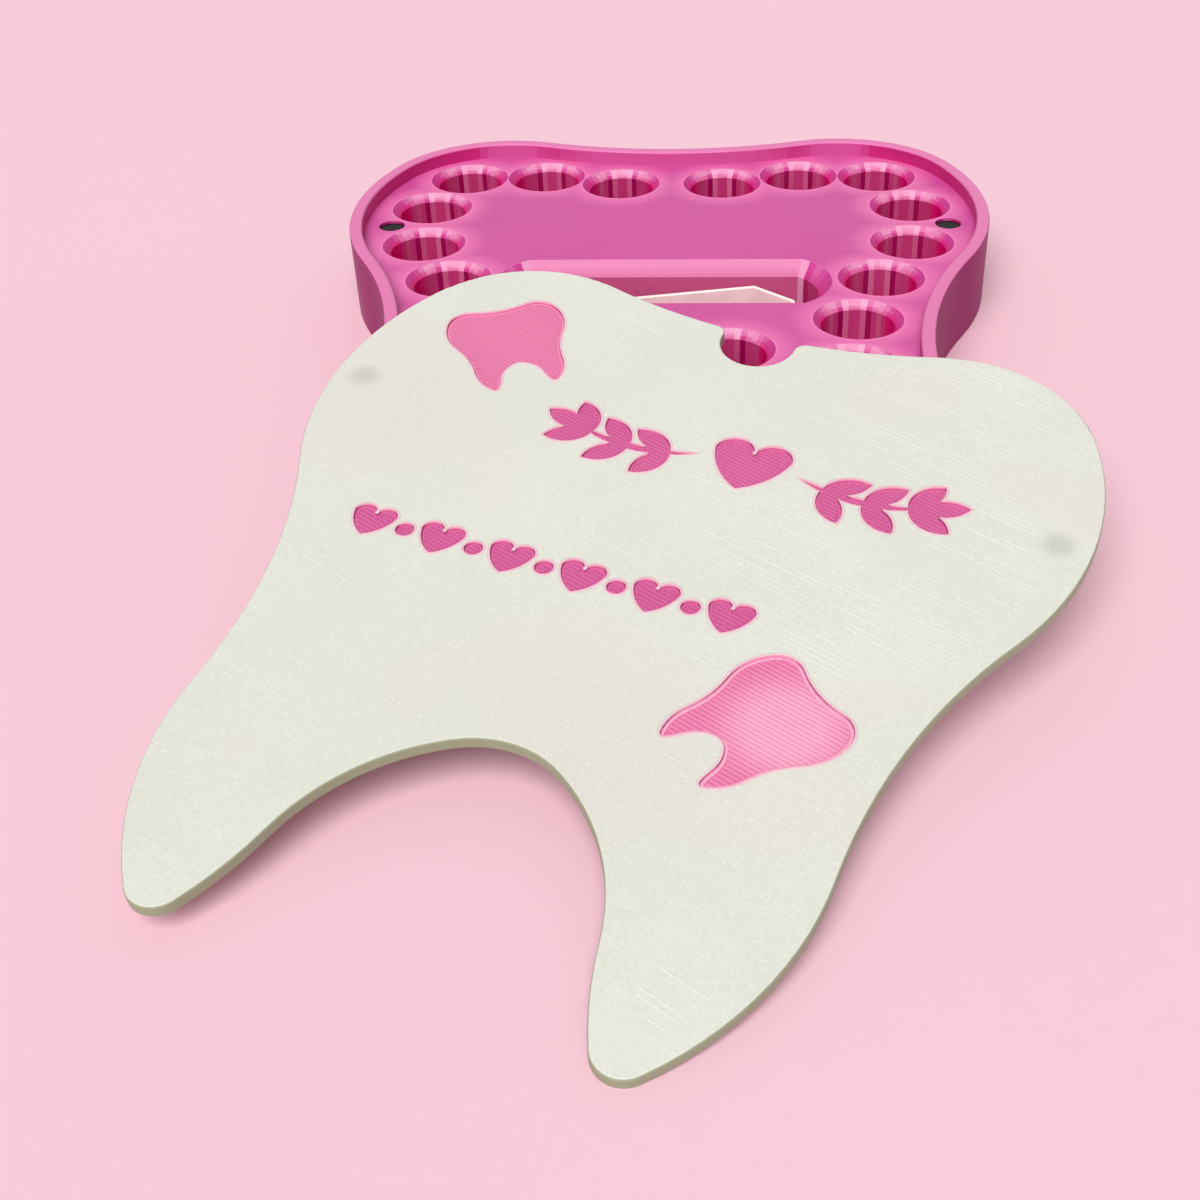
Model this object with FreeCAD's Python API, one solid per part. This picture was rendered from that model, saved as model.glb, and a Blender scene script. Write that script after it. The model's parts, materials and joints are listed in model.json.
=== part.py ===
import FreeCAD, Part
import math
import os

# Tooth-shaped keepsake box for milk teeth: a printed tray with twenty pockets and a slot, and a flat
# lid that two pairs of disc magnets hold shut. The lid is off, leaning on the tray's two root tips.
# Millimetres, +Z up, +Y towards the crown. The origin is the middle of the tray's flat base.

# Tooth outline of the lid: its size, and the tangent arcs of the right half, from the crown's dip
# to the crotch
LID_WIDTH = 96.8
LID_LENGTH = 108.6
CROWN_DIP = 4.5
LOBE_RADIUS = 18.1
CHEEK_ANGLE = 26.1
CHEEK_RADIUS = 40.6
WAIST_RADIUS = 72.1
ROOT_ANGLE = -41.3
ROOT_RADIUS = 36.7
TIP_SPREAD = 48.0
TIP_RADIUS = 3.2
HEEL_START_ANGLE = 206.4
HEEL_END_ANGLE = 191.4
HEEL_RADIUS = 41.7
INSIDE_RADIUS = 25.4
CROTCH_RISE = 30.4

# Tray: deck inside a rim, flat base
DECK_HEIGHT = 10.7
RIM_RISE = 2.3
RIM_WIDTH = 2.0
LID_CLEARANCE = 0.2
FLOOR_THICKNESS = 1.2
RIM_ROUND = 0.4
BASE_CHAMFER = 0.4

# Tooth pockets: bore, bevelled mouth, distance of their centres from the lid's outline, and the arc
# that each one follows with its angle about that arc's centre
POCKET_RADIUS = 5.35
POCKET_BEVEL = 1.15
DIP_INSET = 8.4
DIP_POCKET_ANGLES = [("dip", -83.9)]
CROWN_INSET = 7.7
CROWN_POCKET_ANGLES = [("dip", -74.35), ("lobe", 52.2), ("crotch", 59.1)]
FLANK_INSET = 9.0
FLANK_POCKET_ANGLES = [("cheek", 10.0), ("cheek", -16.7), ("waist", 158.0), ("waist", 168.3),
                       ("waist", 178.4), ("root", -19.4)]

# Keepsake slot with bowed ends and a wide bevelled mouth, a wall short of the pockets beside it
SLOT_Y = 3.3
SLOT_WIDTH = 11.4
SLOT_WALL = 0.75
SLOT_BOW = 2.9
SLOT_BEVEL = 2.0

# Disc magnets: the same diameter in tray and lid
MAGNET_RADIUS = 2.0
MAGNET_CLEARANCE = 0.05
MAGNET_INSET = 4.0
MAGNET_ANGLE = -3.0
TRAY_MAGNET_HEIGHT = 2.0
TRAY_MAGNET_SINK = 0.3
LID_MAGNET_HEIGHT = 1.0

# Lid plate and its finger notch
LID_THICKNESS = 1.4
LID_EDGE_ROUND = 0.3
NOTCH_RADIUS = 4.8
NOTCH_DEPTH = 6.4
NOTCH_CORNER = 1.6

# Coloured inlays, printed into blind recesses of the lid
INLAY_THICKNESS = 0.5
INLAY_SINK = 0.3

# Tooth motifs: the lid's outline drawn small, set off from the left lobe and the right root tip
MOTIF_WIDTH = 15.5
MOTIF_TILT = 37.5
UPPER_MOTIF_SHIFT = (-1.5, 0.5)
LOWER_MOTIF_SHIFT = (-2.2, 38.3)

# Garland: a heart between two leafy sprigs
GARLAND_CENTRE = (7.2, 25.0)
GARLAND_HEART_WIDTH = 9.6
HEART_SLIMNESS = 0.92
HEART_SWELL = 0.36
SPRIG_START = 6.4
SPRIG_LENGTH = 15.5
SPRIG_SAG = 1.6
SPRIG_STEM_WIDTH = 1.2
LEAF_LENGTH = 6.0
LEAF_WIDTH = 2.9
LEAF_TILT = 42.0
LEAF_PAIRS = 3
LEAF_SETBACK = 0.6
END_LEAF_SHARE = 0.94

# Row of small hearts with dots between them
ROW_CENTRE = (-8.0, 0.6)
ROW_HEARTS = 6
ROW_PITCH = 8.8
ROW_HEART_WIDTH = 5.4
ROW_DOT_RADIUS = 1.1

# Lid at rest: turned, with one root tip on the table and its underside on the tray's root tips
LEAN_TURN = -20.5
LEAN_REACH = 80.0
LEAN_SHIFT = -3.35

# Loose card with clipped corners, lying askew in the slot
CARD_END_INSET = 0.25
CARD_WIDTH = 8.8
CARD_THICKNESS = 0.8
CARD_CLIP_LENGTH = 5.8
CARD_CLIP_WIDTH = 3.4
CARD_TURN = 6.3
CARD_CLEARANCE = 0.3
CARD_FLOOR_GAP = 0.1

# Worked out from the sizes above
CROWN_DIP_Y = LID_LENGTH / 2 - CROWN_DIP
LOBE_Y = LID_LENGTH / 2 - LOBE_RADIUS
TIP_X = TIP_SPREAD / 2
TIP_Y = TIP_RADIUS - LID_LENGTH / 2
CROTCH_Y = CROTCH_RISE - LID_LENGTH / 2
TRAY_HEIGHT = DECK_HEIGHT + RIM_RISE
TRAY_OFFSET = LID_CLEARANCE + RIM_WIDTH
INLAY_DEPTH = INLAY_THICKNESS + INLAY_SINK
SAME_PLACE = 1e-4
UP = FreeCAD.Vector(0, 0, 1)
ORIGIN = FreeCAD.Vector(0, 0, 0)


def point(x, y, z=0.0):
    """A point or a vector."""
    return FreeCAD.Vector(x, y, z)


def polar(angle, length=1.0):
    """The vector of a length at an angle in degrees from +X."""
    turn = math.radians(angle)
    return point(length * math.cos(turn), length * math.sin(turn))


class Arc:
    """One arc of the outline: bulge is 1 where it swells outwards and -1 where it curves in."""

    def __init__(self, centre, radius, bulge):
        self.centre = centre
        self.radius = radius
        self.bulge = bulge

    def grown(self, offset):
        """The radius once the whole outline has moved outwards by an offset."""
        return self.radius + self.bulge * offset

    def inside(self, angle, inset):
        """The point that lies an inset within the outline, at an angle about this arc's centre."""
        return self.centre + polar(angle, self.grown(-inset))


def outer_tangent_centre(first, second, radius):
    """Centre of a circle that touches two discs from outside, on their +X side."""
    span = second.centre - first.centre
    near = first.radius + radius
    far = second.radius + radius
    along = (near ** 2 - far ** 2 + span.Length ** 2) / (2 * span.Length)
    across = math.sqrt(near ** 2 - along ** 2)
    forward = span / span.Length
    sideways = point(-forward.y, forward.x) * across
    if sideways.x < 0:
        sideways = -sideways
    return first.centre + forward * along + sideways


def tooth_arcs():
    """The arcs of the right half of the tooth, in order from the crown's dip to the crotch."""
    step = polar(CHEEK_ANGLE, CHEEK_RADIUS - LOBE_RADIUS)
    cheek = Arc(point(LID_WIDTH / 2 - CHEEK_RADIUS, LOBE_Y - step.y), CHEEK_RADIUS, 1)
    lobe = Arc(cheek.centre + step, LOBE_RADIUS, 1)
    rise = LOBE_Y - CROWN_DIP_Y
    dip_radius = (lobe.centre.x ** 2 + rise ** 2 - LOBE_RADIUS ** 2) / (2 * (rise + LOBE_RADIUS))
    dip = Arc(point(0, CROWN_DIP_Y + dip_radius), dip_radius, -1)
    tip = Arc(point(TIP_X, TIP_Y), TIP_RADIUS, 1)
    root = Arc(tip.centre - polar(ROOT_ANGLE, ROOT_RADIUS - TIP_RADIUS), ROOT_RADIUS, 1)
    waist = Arc(outer_tangent_centre(cheek, root, WAIST_RADIUS), WAIST_RADIUS, -1)
    heel = Arc(tip.centre - polar(HEEL_START_ANGLE, HEEL_RADIUS - TIP_RADIUS), HEEL_RADIUS, 1)
    inside_centre = heel.centre + polar(HEEL_END_ANGLE, HEEL_RADIUS + INSIDE_RADIUS)
    inside = Arc(inside_centre, INSIDE_RADIUS, -1)
    reach = INSIDE_RADIUS - CROTCH_Y
    crotch_y = (inside_centre.Length ** 2 - reach ** 2) / (2 * (reach + inside_centre.y))
    crotch = Arc(point(0, crotch_y), CROTCH_Y - crotch_y, -1)
    return {"dip": dip, "lobe": lobe, "cheek": cheek, "waist": waist, "root": root,
            "tip": tip, "heel": heel, "inside": inside, "crotch": crotch}


ARCS = tooth_arcs()


def tangent_point(first, second, offset):
    """Where two tangent arcs of the offset outline meet."""
    direction = second.centre - first.centre
    if first.bulge == second.bulge and first.radius < second.radius:
        direction = -direction
    return first.centre + direction / direction.Length * first.grown(offset)


def mirrored(place):
    """The point's mirror image on the other side of the tooth."""
    return point(-place.x, place.y, place.z)


def short_arc(arc, start, end, offset):
    """The edge of an arc, under a half circle, between two of its points."""
    middle = (start - arc.centre) + (end - arc.centre)
    through = arc.centre + middle / middle.Length * arc.grown(offset)
    return Part.Arc(start, through, end).toShape()


def tooth_face(offset=0.0):
    """The tooth's face at z 0, grown outwards by an offset."""
    chain = list(ARCS.values())
    joins = [tangent_point(first, second, offset) for first, second in zip(chain, chain[1:])]
    dip_middle = point(0, CROWN_DIP_Y + offset)
    crotch_middle = point(0, CROTCH_Y - offset)
    edges = [Part.Arc(mirrored(joins[0]), dip_middle, joins[0]).toShape()]
    sides = list(zip(chain[1:-1], joins, joins[1:]))
    for arc, start, end in sides:
        edges.append(short_arc(arc, start, end, offset))
    edges.append(Part.Arc(joins[-1], crotch_middle, mirrored(joins[-1])).toShape())
    for arc, start, end in reversed(sides):
        left = Arc(mirrored(arc.centre), arc.radius, arc.bulge)
        edges.append(short_arc(left, mirrored(end), mirrored(start), offset))
    return Part.Face(Part.Wire(edges))


def prism(face, low, high):
    """A face drawn at z 0, made a solid between two heights."""
    base = face.copy()
    base.translate(UP * low)
    return base.extrude(UP * (high - low))


def disc(centre, radius, low, high):
    """An upright round solid between two heights."""
    return Part.makeCylinder(radius, high - low, point(centre.x, centre.y, low), UP)


def level_edges(shape, height):
    """The edges of a shape that lie flat at a height."""
    found = []
    for edge in shape.Edges:
        box = edge.BoundBox
        if abs(box.ZMin - height) < SAME_PLACE and abs(box.ZMax - height) < SAME_PLACE:
            found.append(edge)
    return found


def both_sides(place):
    """A place and its mirror image, left one first."""
    return [mirrored(place), place]


def pocket_places():
    """Centres of the pockets, one for each milk tooth, both sides."""
    places = [ARCS[arc].inside(angle, DIP_INSET) for arc, angle in DIP_POCKET_ANGLES]
    places += [ARCS[arc].inside(angle, CROWN_INSET) for arc, angle in CROWN_POCKET_ANGLES]
    places += [ARCS[arc].inside(angle, FLANK_INSET) for arc, angle in FLANK_POCKET_ANGLES]
    return [side for place in places for side in both_sides(place)]


def pocket_cutter(centre):
    """A bore with a bevelled mouth, from the pocket's floor to above the rim."""
    mouth = POCKET_RADIUS + POCKET_BEVEL
    corners = [point(mouth, 0, DECK_HEIGHT), point(mouth, 0, TRAY_HEIGHT), point(0, 0, TRAY_HEIGHT),
               point(0, 0, FLOOR_THICKNESS), point(POCKET_RADIUS, 0, FLOOR_THICKNESS),
               point(POCKET_RADIUS, 0, DECK_HEIGHT - POCKET_BEVEL)]
    bore = Part.Face(Part.makePolygon(corners + corners[:1])).revolve(ORIGIN, UP, 360)
    bore.translate(centre)
    return bore


def slot_half():
    """Half the length of the slot's straight sides, which the pockets beside it leave."""
    beside = min(pocket_places(), key=lambda place: abs(place.y - SLOT_Y))
    mouth = POCKET_RADIUS + POCKET_BEVEL
    return abs(beside.x) - mouth - SLOT_WALL - SLOT_BEVEL - SLOT_BOW


def slot_wire(grow, height):
    """The keepsake slot's outline at a height, grown all round: two straight sides, two bowed ends."""
    half_width = SLOT_WIDTH / 2
    bow_radius = (half_width ** 2 + SLOT_BOW ** 2) / (2 * SLOT_BOW)
    bow_centre = slot_half() + SLOT_BOW - bow_radius
    bow_end = bow_centre + bow_radius + grow
    side = half_width + grow
    corner = bow_centre + math.sqrt((bow_radius + grow) ** 2 - side ** 2)
    low = SLOT_Y - side
    high = SLOT_Y + side
    right_end = Part.Arc(point(corner, low), point(bow_end, SLOT_Y), point(corner, high))
    left_end = Part.Arc(point(-corner, high), point(-bow_end, SLOT_Y), point(-corner, low))
    wire = Part.Wire([
        Part.makeLine(point(-corner, low), point(corner, low)),
        right_end.toShape(),
        Part.makeLine(point(corner, high), point(-corner, high)),
        left_end.toShape(),
    ])
    wire.translate(UP * height)
    return wire


def slot_cutter():
    """The slot with a bevelled mouth, from its floor to the deck."""
    levels = [slot_wire(0, FLOOR_THICKNESS), slot_wire(0, DECK_HEIGHT - SLOT_BEVEL),
              slot_wire(SLOT_BEVEL, DECK_HEIGHT)]
    return Part.makeLoft(levels, True, True)


def magnet_places():
    """Centres of the magnets, left one first."""
    return both_sides(ARCS["cheek"].inside(MAGNET_ANGLE, MAGNET_INSET))


def make_tray():
    """The tray: rim, deck, slot, pockets and magnet seats in one printed solid."""
    body = prism(tooth_face(TRAY_OFFSET), 0, TRAY_HEIGHT)
    body = body.makeChamfer(BASE_CHAMFER, level_edges(body, 0))
    body = body.cut(prism(tooth_face(LID_CLEARANCE), DECK_HEIGHT, TRAY_HEIGHT))
    body = body.makeFillet(RIM_ROUND, level_edges(body, TRAY_HEIGHT))
    seat_floor = DECK_HEIGHT - TRAY_MAGNET_SINK - TRAY_MAGNET_HEIGHT
    cutters = [slot_cutter()]
    cutters += [pocket_cutter(centre) for centre in pocket_places()]
    for centre in magnet_places():
        cutters.append(disc(centre, MAGNET_RADIUS + MAGNET_CLEARANCE, seat_floor, TRAY_HEIGHT))
    return body.cut(cutters)


def tray_magnet(centre):
    """A disc magnet in its seat, a little below the deck."""
    top = DECK_HEIGHT - TRAY_MAGNET_SINK
    return disc(centre, MAGNET_RADIUS, top - TRAY_MAGNET_HEIGHT, top)


def lid_magnet(centre):
    """A disc magnet, flush with the lid's underside."""
    return disc(centre, MAGNET_RADIUS, 0, LID_MAGNET_HEIGHT)


def heart_face(width):
    """A heart about the middle of its height, with its point towards -Y."""
    lobe = width / 4
    height = width * HEART_SLIMNESS
    cleft = point(0, height / 2 - lobe)
    tip = point(0, -height / 2)
    edges = []
    for side in (1, -1):
        outer = cleft + point(side * width / 2, 0)
        swell = (cleft + tip) / 2 + point(side * width * HEART_SWELL, 0)
        edges.append(Part.Arc(tip, swell, outer).toShape())
        edges.append(Part.Arc(outer, cleft + point(side * lobe, lobe), cleft).toShape())
    return Part.Face(Part.Wire(Part.__sortEdges__(edges)))


def crescent_face(start, end, sag, width):
    """A tapered stroke between two points on a level line, hanging by a sag at its middle."""
    middle = (start + end) / 2
    upper = middle - point(0, sag - width / 2)
    lower = middle - point(0, sag + width / 2)
    edges = [Part.Arc(start, lower, end).toShape(), Part.Arc(end, upper, start).toShape()]
    return Part.Face(Part.Wire(edges))


def turned(shape, angle, place):
    """A copy of a flat shape, turned about the origin and moved to its place."""
    copy = shape.copy()
    copy.rotate(ORIGIN, UP, angle)
    copy.translate(point(place[0], place[1]))
    return copy


def inlay(face):
    """A coloured inlay on the floor of its recess."""
    floor = LID_THICKNESS - INLAY_DEPTH
    return prism(face, floor, floor + INLAY_THICKNESS)


def recess(face):
    """What is cut from the lid for an inlay."""
    return prism(face, LID_THICKNESS - INLAY_DEPTH, LID_THICKNESS)


def motif_face(place, tilt):
    """The small tooth, turned and set at its place on the lid."""
    face = tooth_face()
    return turned(face.scaled(MOTIF_WIDTH / face.BoundBox.XLength, ORIGIN), tilt, place)


def stem_station(share):
    """Place and slope in degrees of the sprig's stem, at a share of its length."""
    place = (SPRIG_START + SPRIG_LENGTH * share, -4 * SPRIG_SAG * share * (1 - share))
    slope = -4 * SPRIG_SAG * (1 - 2 * share) / SPRIG_LENGTH
    return place, math.degrees(math.atan(slope))


def sprig_face():
    """The right sprig of the garland about the garland's centre: a hanging stem with leaves."""
    start = point(SPRIG_START, 0)
    end = point(SPRIG_START + SPRIG_LENGTH, 0)
    sprig = crescent_face(start, end, SPRIG_SAG, SPRIG_STEM_WIDTH)
    leaf = crescent_face(ORIGIN, point(LEAF_LENGTH, 0), 0, LEAF_WIDTH)
    leaves = []
    for pair in range(LEAF_PAIRS):
        share = (pair + LEAF_SETBACK) / LEAF_PAIRS
        base, lean = stem_station(share)
        leaves.append(turned(leaf, lean + LEAF_TILT, base))
        leaves.append(turned(leaf, lean - LEAF_TILT, base))
    base, lean = stem_station(END_LEAF_SHARE)
    leaves.append(turned(leaf, lean, base))
    return sprig.fuse(leaves).removeSplitter().Faces[0]


def placed_on_garland(face):
    """A face drawn about the garland's centre, moved to the garland's place."""
    return turned(face, 0, GARLAND_CENTRE)


def row_places(count):
    """Places of a centred row of items at the row's pitch."""
    first = ROW_CENTRE[0] - (count - 1) / 2 * ROW_PITCH
    return [(first + index * ROW_PITCH, ROW_CENTRE[1]) for index in range(count)]


def inlay_faces():
    """The faces of every inlay, by the name of its node."""
    heart = heart_face(GARLAND_HEART_WIDTH)
    sprig = sprig_face()
    small_heart = heart_face(ROW_HEART_WIDTH)
    dot = Part.Face(Part.Wire(Part.makeCircle(ROW_DOT_RADIUS)))
    upper = mirrored(ARCS["lobe"].centre) + point(*UPPER_MOTIF_SHIFT)
    lower = ARCS["tip"].centre + point(*LOWER_MOTIF_SHIFT)
    return {
        "tooth_inlay_upper": [motif_face(upper, MOTIF_TILT)],
        "tooth_inlay_lower": [motif_face(lower, -MOTIF_TILT)],
        "heart_inlay": [placed_on_garland(heart)],
        "leaf_sprig_left": [placed_on_garland(sprig.mirror(ORIGIN, point(1, 0)))],
        "leaf_sprig_right": [placed_on_garland(sprig)],
        "heart_row_inlays": [turned(small_heart, 0, place) for place in row_places(ROW_HEARTS)],
        "dot_row_inlays": [turned(dot, 0, place) for place in row_places(ROW_HEARTS - 1)],
    }


def notch_face():
    """The finger notch: a round bottom between straight flanks, open beyond the crown's dip."""
    bottom = point(0, CROWN_DIP_Y - NOTCH_DEPTH)
    left = bottom + point(-NOTCH_RADIUS, NOTCH_RADIUS)
    right = bottom + point(NOTCH_RADIUS, NOTCH_RADIUS)
    rise = point(0, LID_LENGTH / 2 - left.y)
    edges = [Part.Arc(left, bottom, right).toShape()]
    corners = [right, right + rise, left + rise, left]
    edges += [Part.makeLine(start, end) for start, end in zip(corners, corners[1:])]
    return Part.Face(Part.Wire(edges))


def make_lid(faces):
    """The lid plate with its finger notch, magnet seats and inlay recesses, underside at z 0."""
    plate = prism(tooth_face(), 0, LID_THICKNESS)
    plate = plate.cut(prism(notch_face(), 0, LID_THICKNESS))
    corners = []
    for edge in plate.Edges:
        box = edge.BoundBox
        upright = box.XLength < SAME_PLACE and box.YLength < SAME_PLACE
        if upright and abs(abs(box.XMin) - NOTCH_RADIUS) < SAME_PLACE and box.YMin > CROWN_DIP_Y:
            corners.append(edge)
    plate = plate.makeFillet(NOTCH_CORNER, corners)
    plate = plate.makeFillet(LID_EDGE_ROUND, level_edges(plate, LID_THICKNESS))
    cutters = [recess(face) for group in faces.values() for face in group]
    for centre in magnet_places():
        cutters.append(disc(centre, MAGNET_RADIUS + MAGNET_CLEARANCE, 0, LID_MAGNET_HEIGHT))
    return plate.cut(cutters)


def leaning(shape):
    """A piece of the lid, moved from the lid's own frame to where the lid leans."""
    turn = math.radians(LEAN_TURN)
    lowest = math.cos(turn) * TIP_Y - abs(math.sin(turn)) * TIP_X - TIP_RADIUS
    pitch = math.asin(TRAY_HEIGHT / LEAN_REACH)
    tray_front = TIP_Y - TIP_RADIUS - TRAY_OFFSET
    copy = shape.copy()
    copy.rotate(ORIGIN, UP, LEAN_TURN)
    copy.translate(point(0, -lowest))
    copy.rotate(ORIGIN, point(1, 0), math.degrees(pitch))
    copy.translate(point(LEAN_SHIFT, tray_front - LEAN_REACH * math.cos(pitch)))
    return copy


def make_card():
    """The loose card, leaning from the slot's near corner against its far wall."""
    end = slot_half() - CARD_END_INSET
    clip_start = end - CARD_CLIP_LENGTH
    side = CARD_WIDTH / 2
    clip_side = side - CARD_CLIP_WIDTH
    corners = [
        point(-clip_start, -side), point(clip_start, -side), point(end, -clip_side), point(end, clip_side),
        point(clip_start, side), point(-clip_start, side), point(-end, clip_side), point(-end, -clip_side),
    ]
    card = prism(Part.Face(Part.makePolygon(corners + corners[:1])), 0, CARD_THICKNESS)
    card.rotate(ORIGIN, UP, CARD_TURN)
    reach = card.BoundBox.YLength
    card.translate(point(0, -card.BoundBox.YMin))
    room = SLOT_WIDTH - 2 * CARD_CLEARANCE
    fit = min(1.0, room / math.hypot(reach, CARD_THICKNESS))
    tilt = math.atan2(CARD_THICKNESS, reach) + math.acos(fit)
    card.rotate(ORIGIN, point(1, 0), math.degrees(tilt))
    near_wall = SLOT_Y - SLOT_WIDTH / 2 + CARD_CLEARANCE
    card.translate(point(0, near_wall + CARD_THICKNESS * math.sin(tilt), FLOOR_THICKNESS + CARD_FLOOR_GAP))
    return card


def make_pieces():
    """Every piece at rest, by the name of its node."""
    faces = inlay_faces()
    left, right = magnet_places()
    pieces = {
        "tray_body": make_tray(),
        "tray_magnet_left": tray_magnet(left),
        "tray_magnet_right": tray_magnet(right),
        "lid_plate": leaning(make_lid(faces)),
        "lid_magnet_left": leaning(lid_magnet(left)),
        "lid_magnet_right": leaning(lid_magnet(right)),
        "keepsake_card": make_card(),
    }
    for name, group in faces.items():
        pieces[name] = leaning(Part.makeCompound([inlay(face) for face in group]))
    return pieces


os.makedirs("parts", exist_ok=True)
for node, shape in make_pieces().items():
    shape.exportStep(os.path.join("parts", node + ".step"))
    box = shape.BoundBox
    print(node, len(shape.Solids), "solids", round(shape.Volume, 1), "mm3", shape.isValid(),
          [round(value, 2) for value in (box.XMin, box.XMax, box.YMin, box.YMax, box.ZMin, box.ZMax)])
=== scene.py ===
import json
import logging
import math
import random
from dataclasses import dataclass, field
from enum import Enum
from typing import Any, Callable, Dict, Iterable, List, Optional, Sequence, Tuple

import bmesh
import bpy
import numpy as np
from bpy.types import Material, Mesh, Node, NodeSocket, NodeTree, Object
from mathutils import Matrix, Vector


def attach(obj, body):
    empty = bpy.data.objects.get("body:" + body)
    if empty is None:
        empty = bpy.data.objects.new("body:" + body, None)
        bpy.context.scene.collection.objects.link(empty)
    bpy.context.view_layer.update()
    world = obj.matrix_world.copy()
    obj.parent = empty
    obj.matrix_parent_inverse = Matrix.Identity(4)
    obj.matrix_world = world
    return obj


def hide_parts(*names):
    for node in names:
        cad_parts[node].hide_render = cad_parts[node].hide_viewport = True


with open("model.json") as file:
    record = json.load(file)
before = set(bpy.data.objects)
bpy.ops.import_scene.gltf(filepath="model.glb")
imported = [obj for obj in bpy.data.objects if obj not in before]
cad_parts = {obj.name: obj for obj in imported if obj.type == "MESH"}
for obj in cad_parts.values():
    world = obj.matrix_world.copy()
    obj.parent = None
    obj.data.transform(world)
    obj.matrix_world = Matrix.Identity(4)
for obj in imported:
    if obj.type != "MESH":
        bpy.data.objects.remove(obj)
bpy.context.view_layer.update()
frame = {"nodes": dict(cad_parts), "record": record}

MM = 0.001
PHOTO_PIXELS = 1200.0
LOG = logging.getLogger("tooth_box")

Colour = Tuple[float, float, float, float]
Labels = Sequence[Tuple[str, str]]
Place = Tuple[float, float, float]
Range = Tuple[float, float]
Segment = Tuple[Tuple[float, float], Tuple[float, float]]
Tone = Tuple[float, float, float]

LINE_TURN = math.radians(-15.5)
LID_LINE = 0.685 * MM
INLAY_LINE = 0.55 * MM
TONE_RANGE: Range = (0.3, 0.7)
# Name of the face attribute that carries the linings' painted light and shade: how light, how much lit lip
# and how much crimson shade.
PAINTED_LIGHT = "streak"
# Painted shade on the linings' floors and hidden caps, darker than a wall's middle tone.
FLOOR_SHADE_TONE: Tone = (0.3, 0.0, 0.0)
MERGE_DISTANCE = 1e-6
LEVEL_SLACK = 0.01 * MM
SHORTEST = 1e-9
BLUNTEST = 0.6
ROUND = 0.5


class Body(Enum):
    """The rigid bodies of the box."""

    TRAY = "tray"
    LID = "lid"
    CARD = "card"


class Slot(Enum):
    """The record's material slots."""

    PINK = "silk_pink"
    WHITE = "pearl_white"
    INLAY = "inlay_pink"
    METAL = "magnet_metal"
    CARD = "card_pale"


def screen(red: int, green: int, blue: int) -> Colour:
    """Turns a colour as a screen shows it into a linear one.

    Args:
        red: Red from 0 to 255.
        green: Green from 0 to 255.
        blue: Blue from 0 to 255.

    Returns:
        The linear colour with full alpha.
    """
    linear = []
    for value in (red, green, blue):
        share = value / 255
        linear.append(share / 12.92 if share <= 0.04045 else ((share + 0.055) / 1.055) ** 2.4)
    return (linear[0], linear[1], linear[2], 1.0)


@dataclass
class Graph:
    """Adds and joins the nodes of one node tree."""

    tree: NodeTree

    def add(self, kind: str, inputs: Optional[Dict[Any, Any]] = None, **settings: Any) -> Node:
        """Adds a node.

        Args:
            kind: The node's type.
            inputs: Values or sockets by input name or number.
            **settings: The node's own properties, set before its inputs.

        Returns:
            The new node.
        """
        node = self.tree.nodes.new(kind)
        for name, value in settings.items():
            setattr(node, name, value)
        for key, value in (inputs or {}).items():
            if isinstance(value, NodeSocket):
                self.tree.links.new(value, node.inputs[key])
            else:
                node.inputs[key].default_value = value
        return node

    def math(self, operation: str, *values: Any) -> NodeSocket:
        """Adds a Math node and returns its result."""
        return self.add("ShaderNodeMath", dict(enumerate(values)), operation=operation).outputs[0]

    def times(self, first: Any, second: Any) -> NodeSocket:
        """Multiplies two values."""
        return self.math("MULTIPLY", first, second)

    def rest(self, share: Any) -> NodeSocket:
        """What a share leaves of 1."""
        return self.math("SUBTRACT", 1.0, share)

    def vector(self, operation: str, first: Any, second: Any, result: str = "Vector") -> NodeSocket:
        """Adds a Vector Math node and returns the named result."""
        return self.add("ShaderNodeVectorMath", {0: first, 1: second}, operation=operation).outputs[result]

    def flat(self, place: NodeSocket) -> NodeSocket:
        """A place with its height left out."""
        return self.vector("MULTIPLY", place, (1.0, 1.0, 0.0))

    def apart(self, place: NodeSocket, other: Place) -> NodeSocket:
        """How far a place lies from another."""
        return self.vector("DISTANCE", place, other, "Value")

    def axis(self, vector: NodeSocket, number: int) -> NodeSocket:
        """One of a vector's three values."""
        return self.add("ShaderNodeSeparateXYZ", {0: vector}).outputs[number]

    def turned(self, place: NodeSocket, *turns: float) -> NodeSocket:
        """A place turned about the three axes."""
        return self.add("ShaderNodeMapping", {"Vector": place, "Rotation": turns}).outputs[0]

    def object_place(self) -> NodeSocket:
        """The place in the object's own coordinates."""
        return self.add("ShaderNodeTexCoord").outputs["Object"]

    def normal(self) -> NodeSocket:
        """The face's own normal."""
        return self.add("ShaderNodeNewGeometry").outputs["True Normal"]

    def mix(self, share: Any, first: Any, second: Any) -> NodeSocket:
        """Mixes two colours by the share of the second that shows."""
        return self.add("ShaderNodeMix", {0: share, 6: first, 7: second}, data_type="RGBA").outputs[2]

    def lay(self, base: Any, colour: Colour, mask: NodeSocket, share: float) -> NodeSocket:
        """Lays a share of a colour on a base where a mask shows it."""
        return self.mix(self.times(mask, share), base, colour)

    def ramp(self, value: Any, low: Any, high: Any) -> NodeSocket:
        """Spreads the values between low and high smoothly over 0 to 1."""
        names = {"Value": value, "From Min": low, "From Max": high}
        return self.add("ShaderNodeMapRange", names, interpolation_type="SMOOTHSTEP").outputs[0]

    def level(self, low: float, high: float) -> NodeSocket:
        """A mask of level faces, between two shares of the normal that point up or down."""
        return self.ramp(self.math("ABSOLUTE", self.axis(self.normal(), 2)), low, high)

    def front(self, low: float, high: float) -> NodeSocket:
        """A mask of faces that look to the front, between two shares of the normal that point there."""
        return self.ramp(self.times(self.axis(self.normal(), 1), -1.0), low, high)


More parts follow.
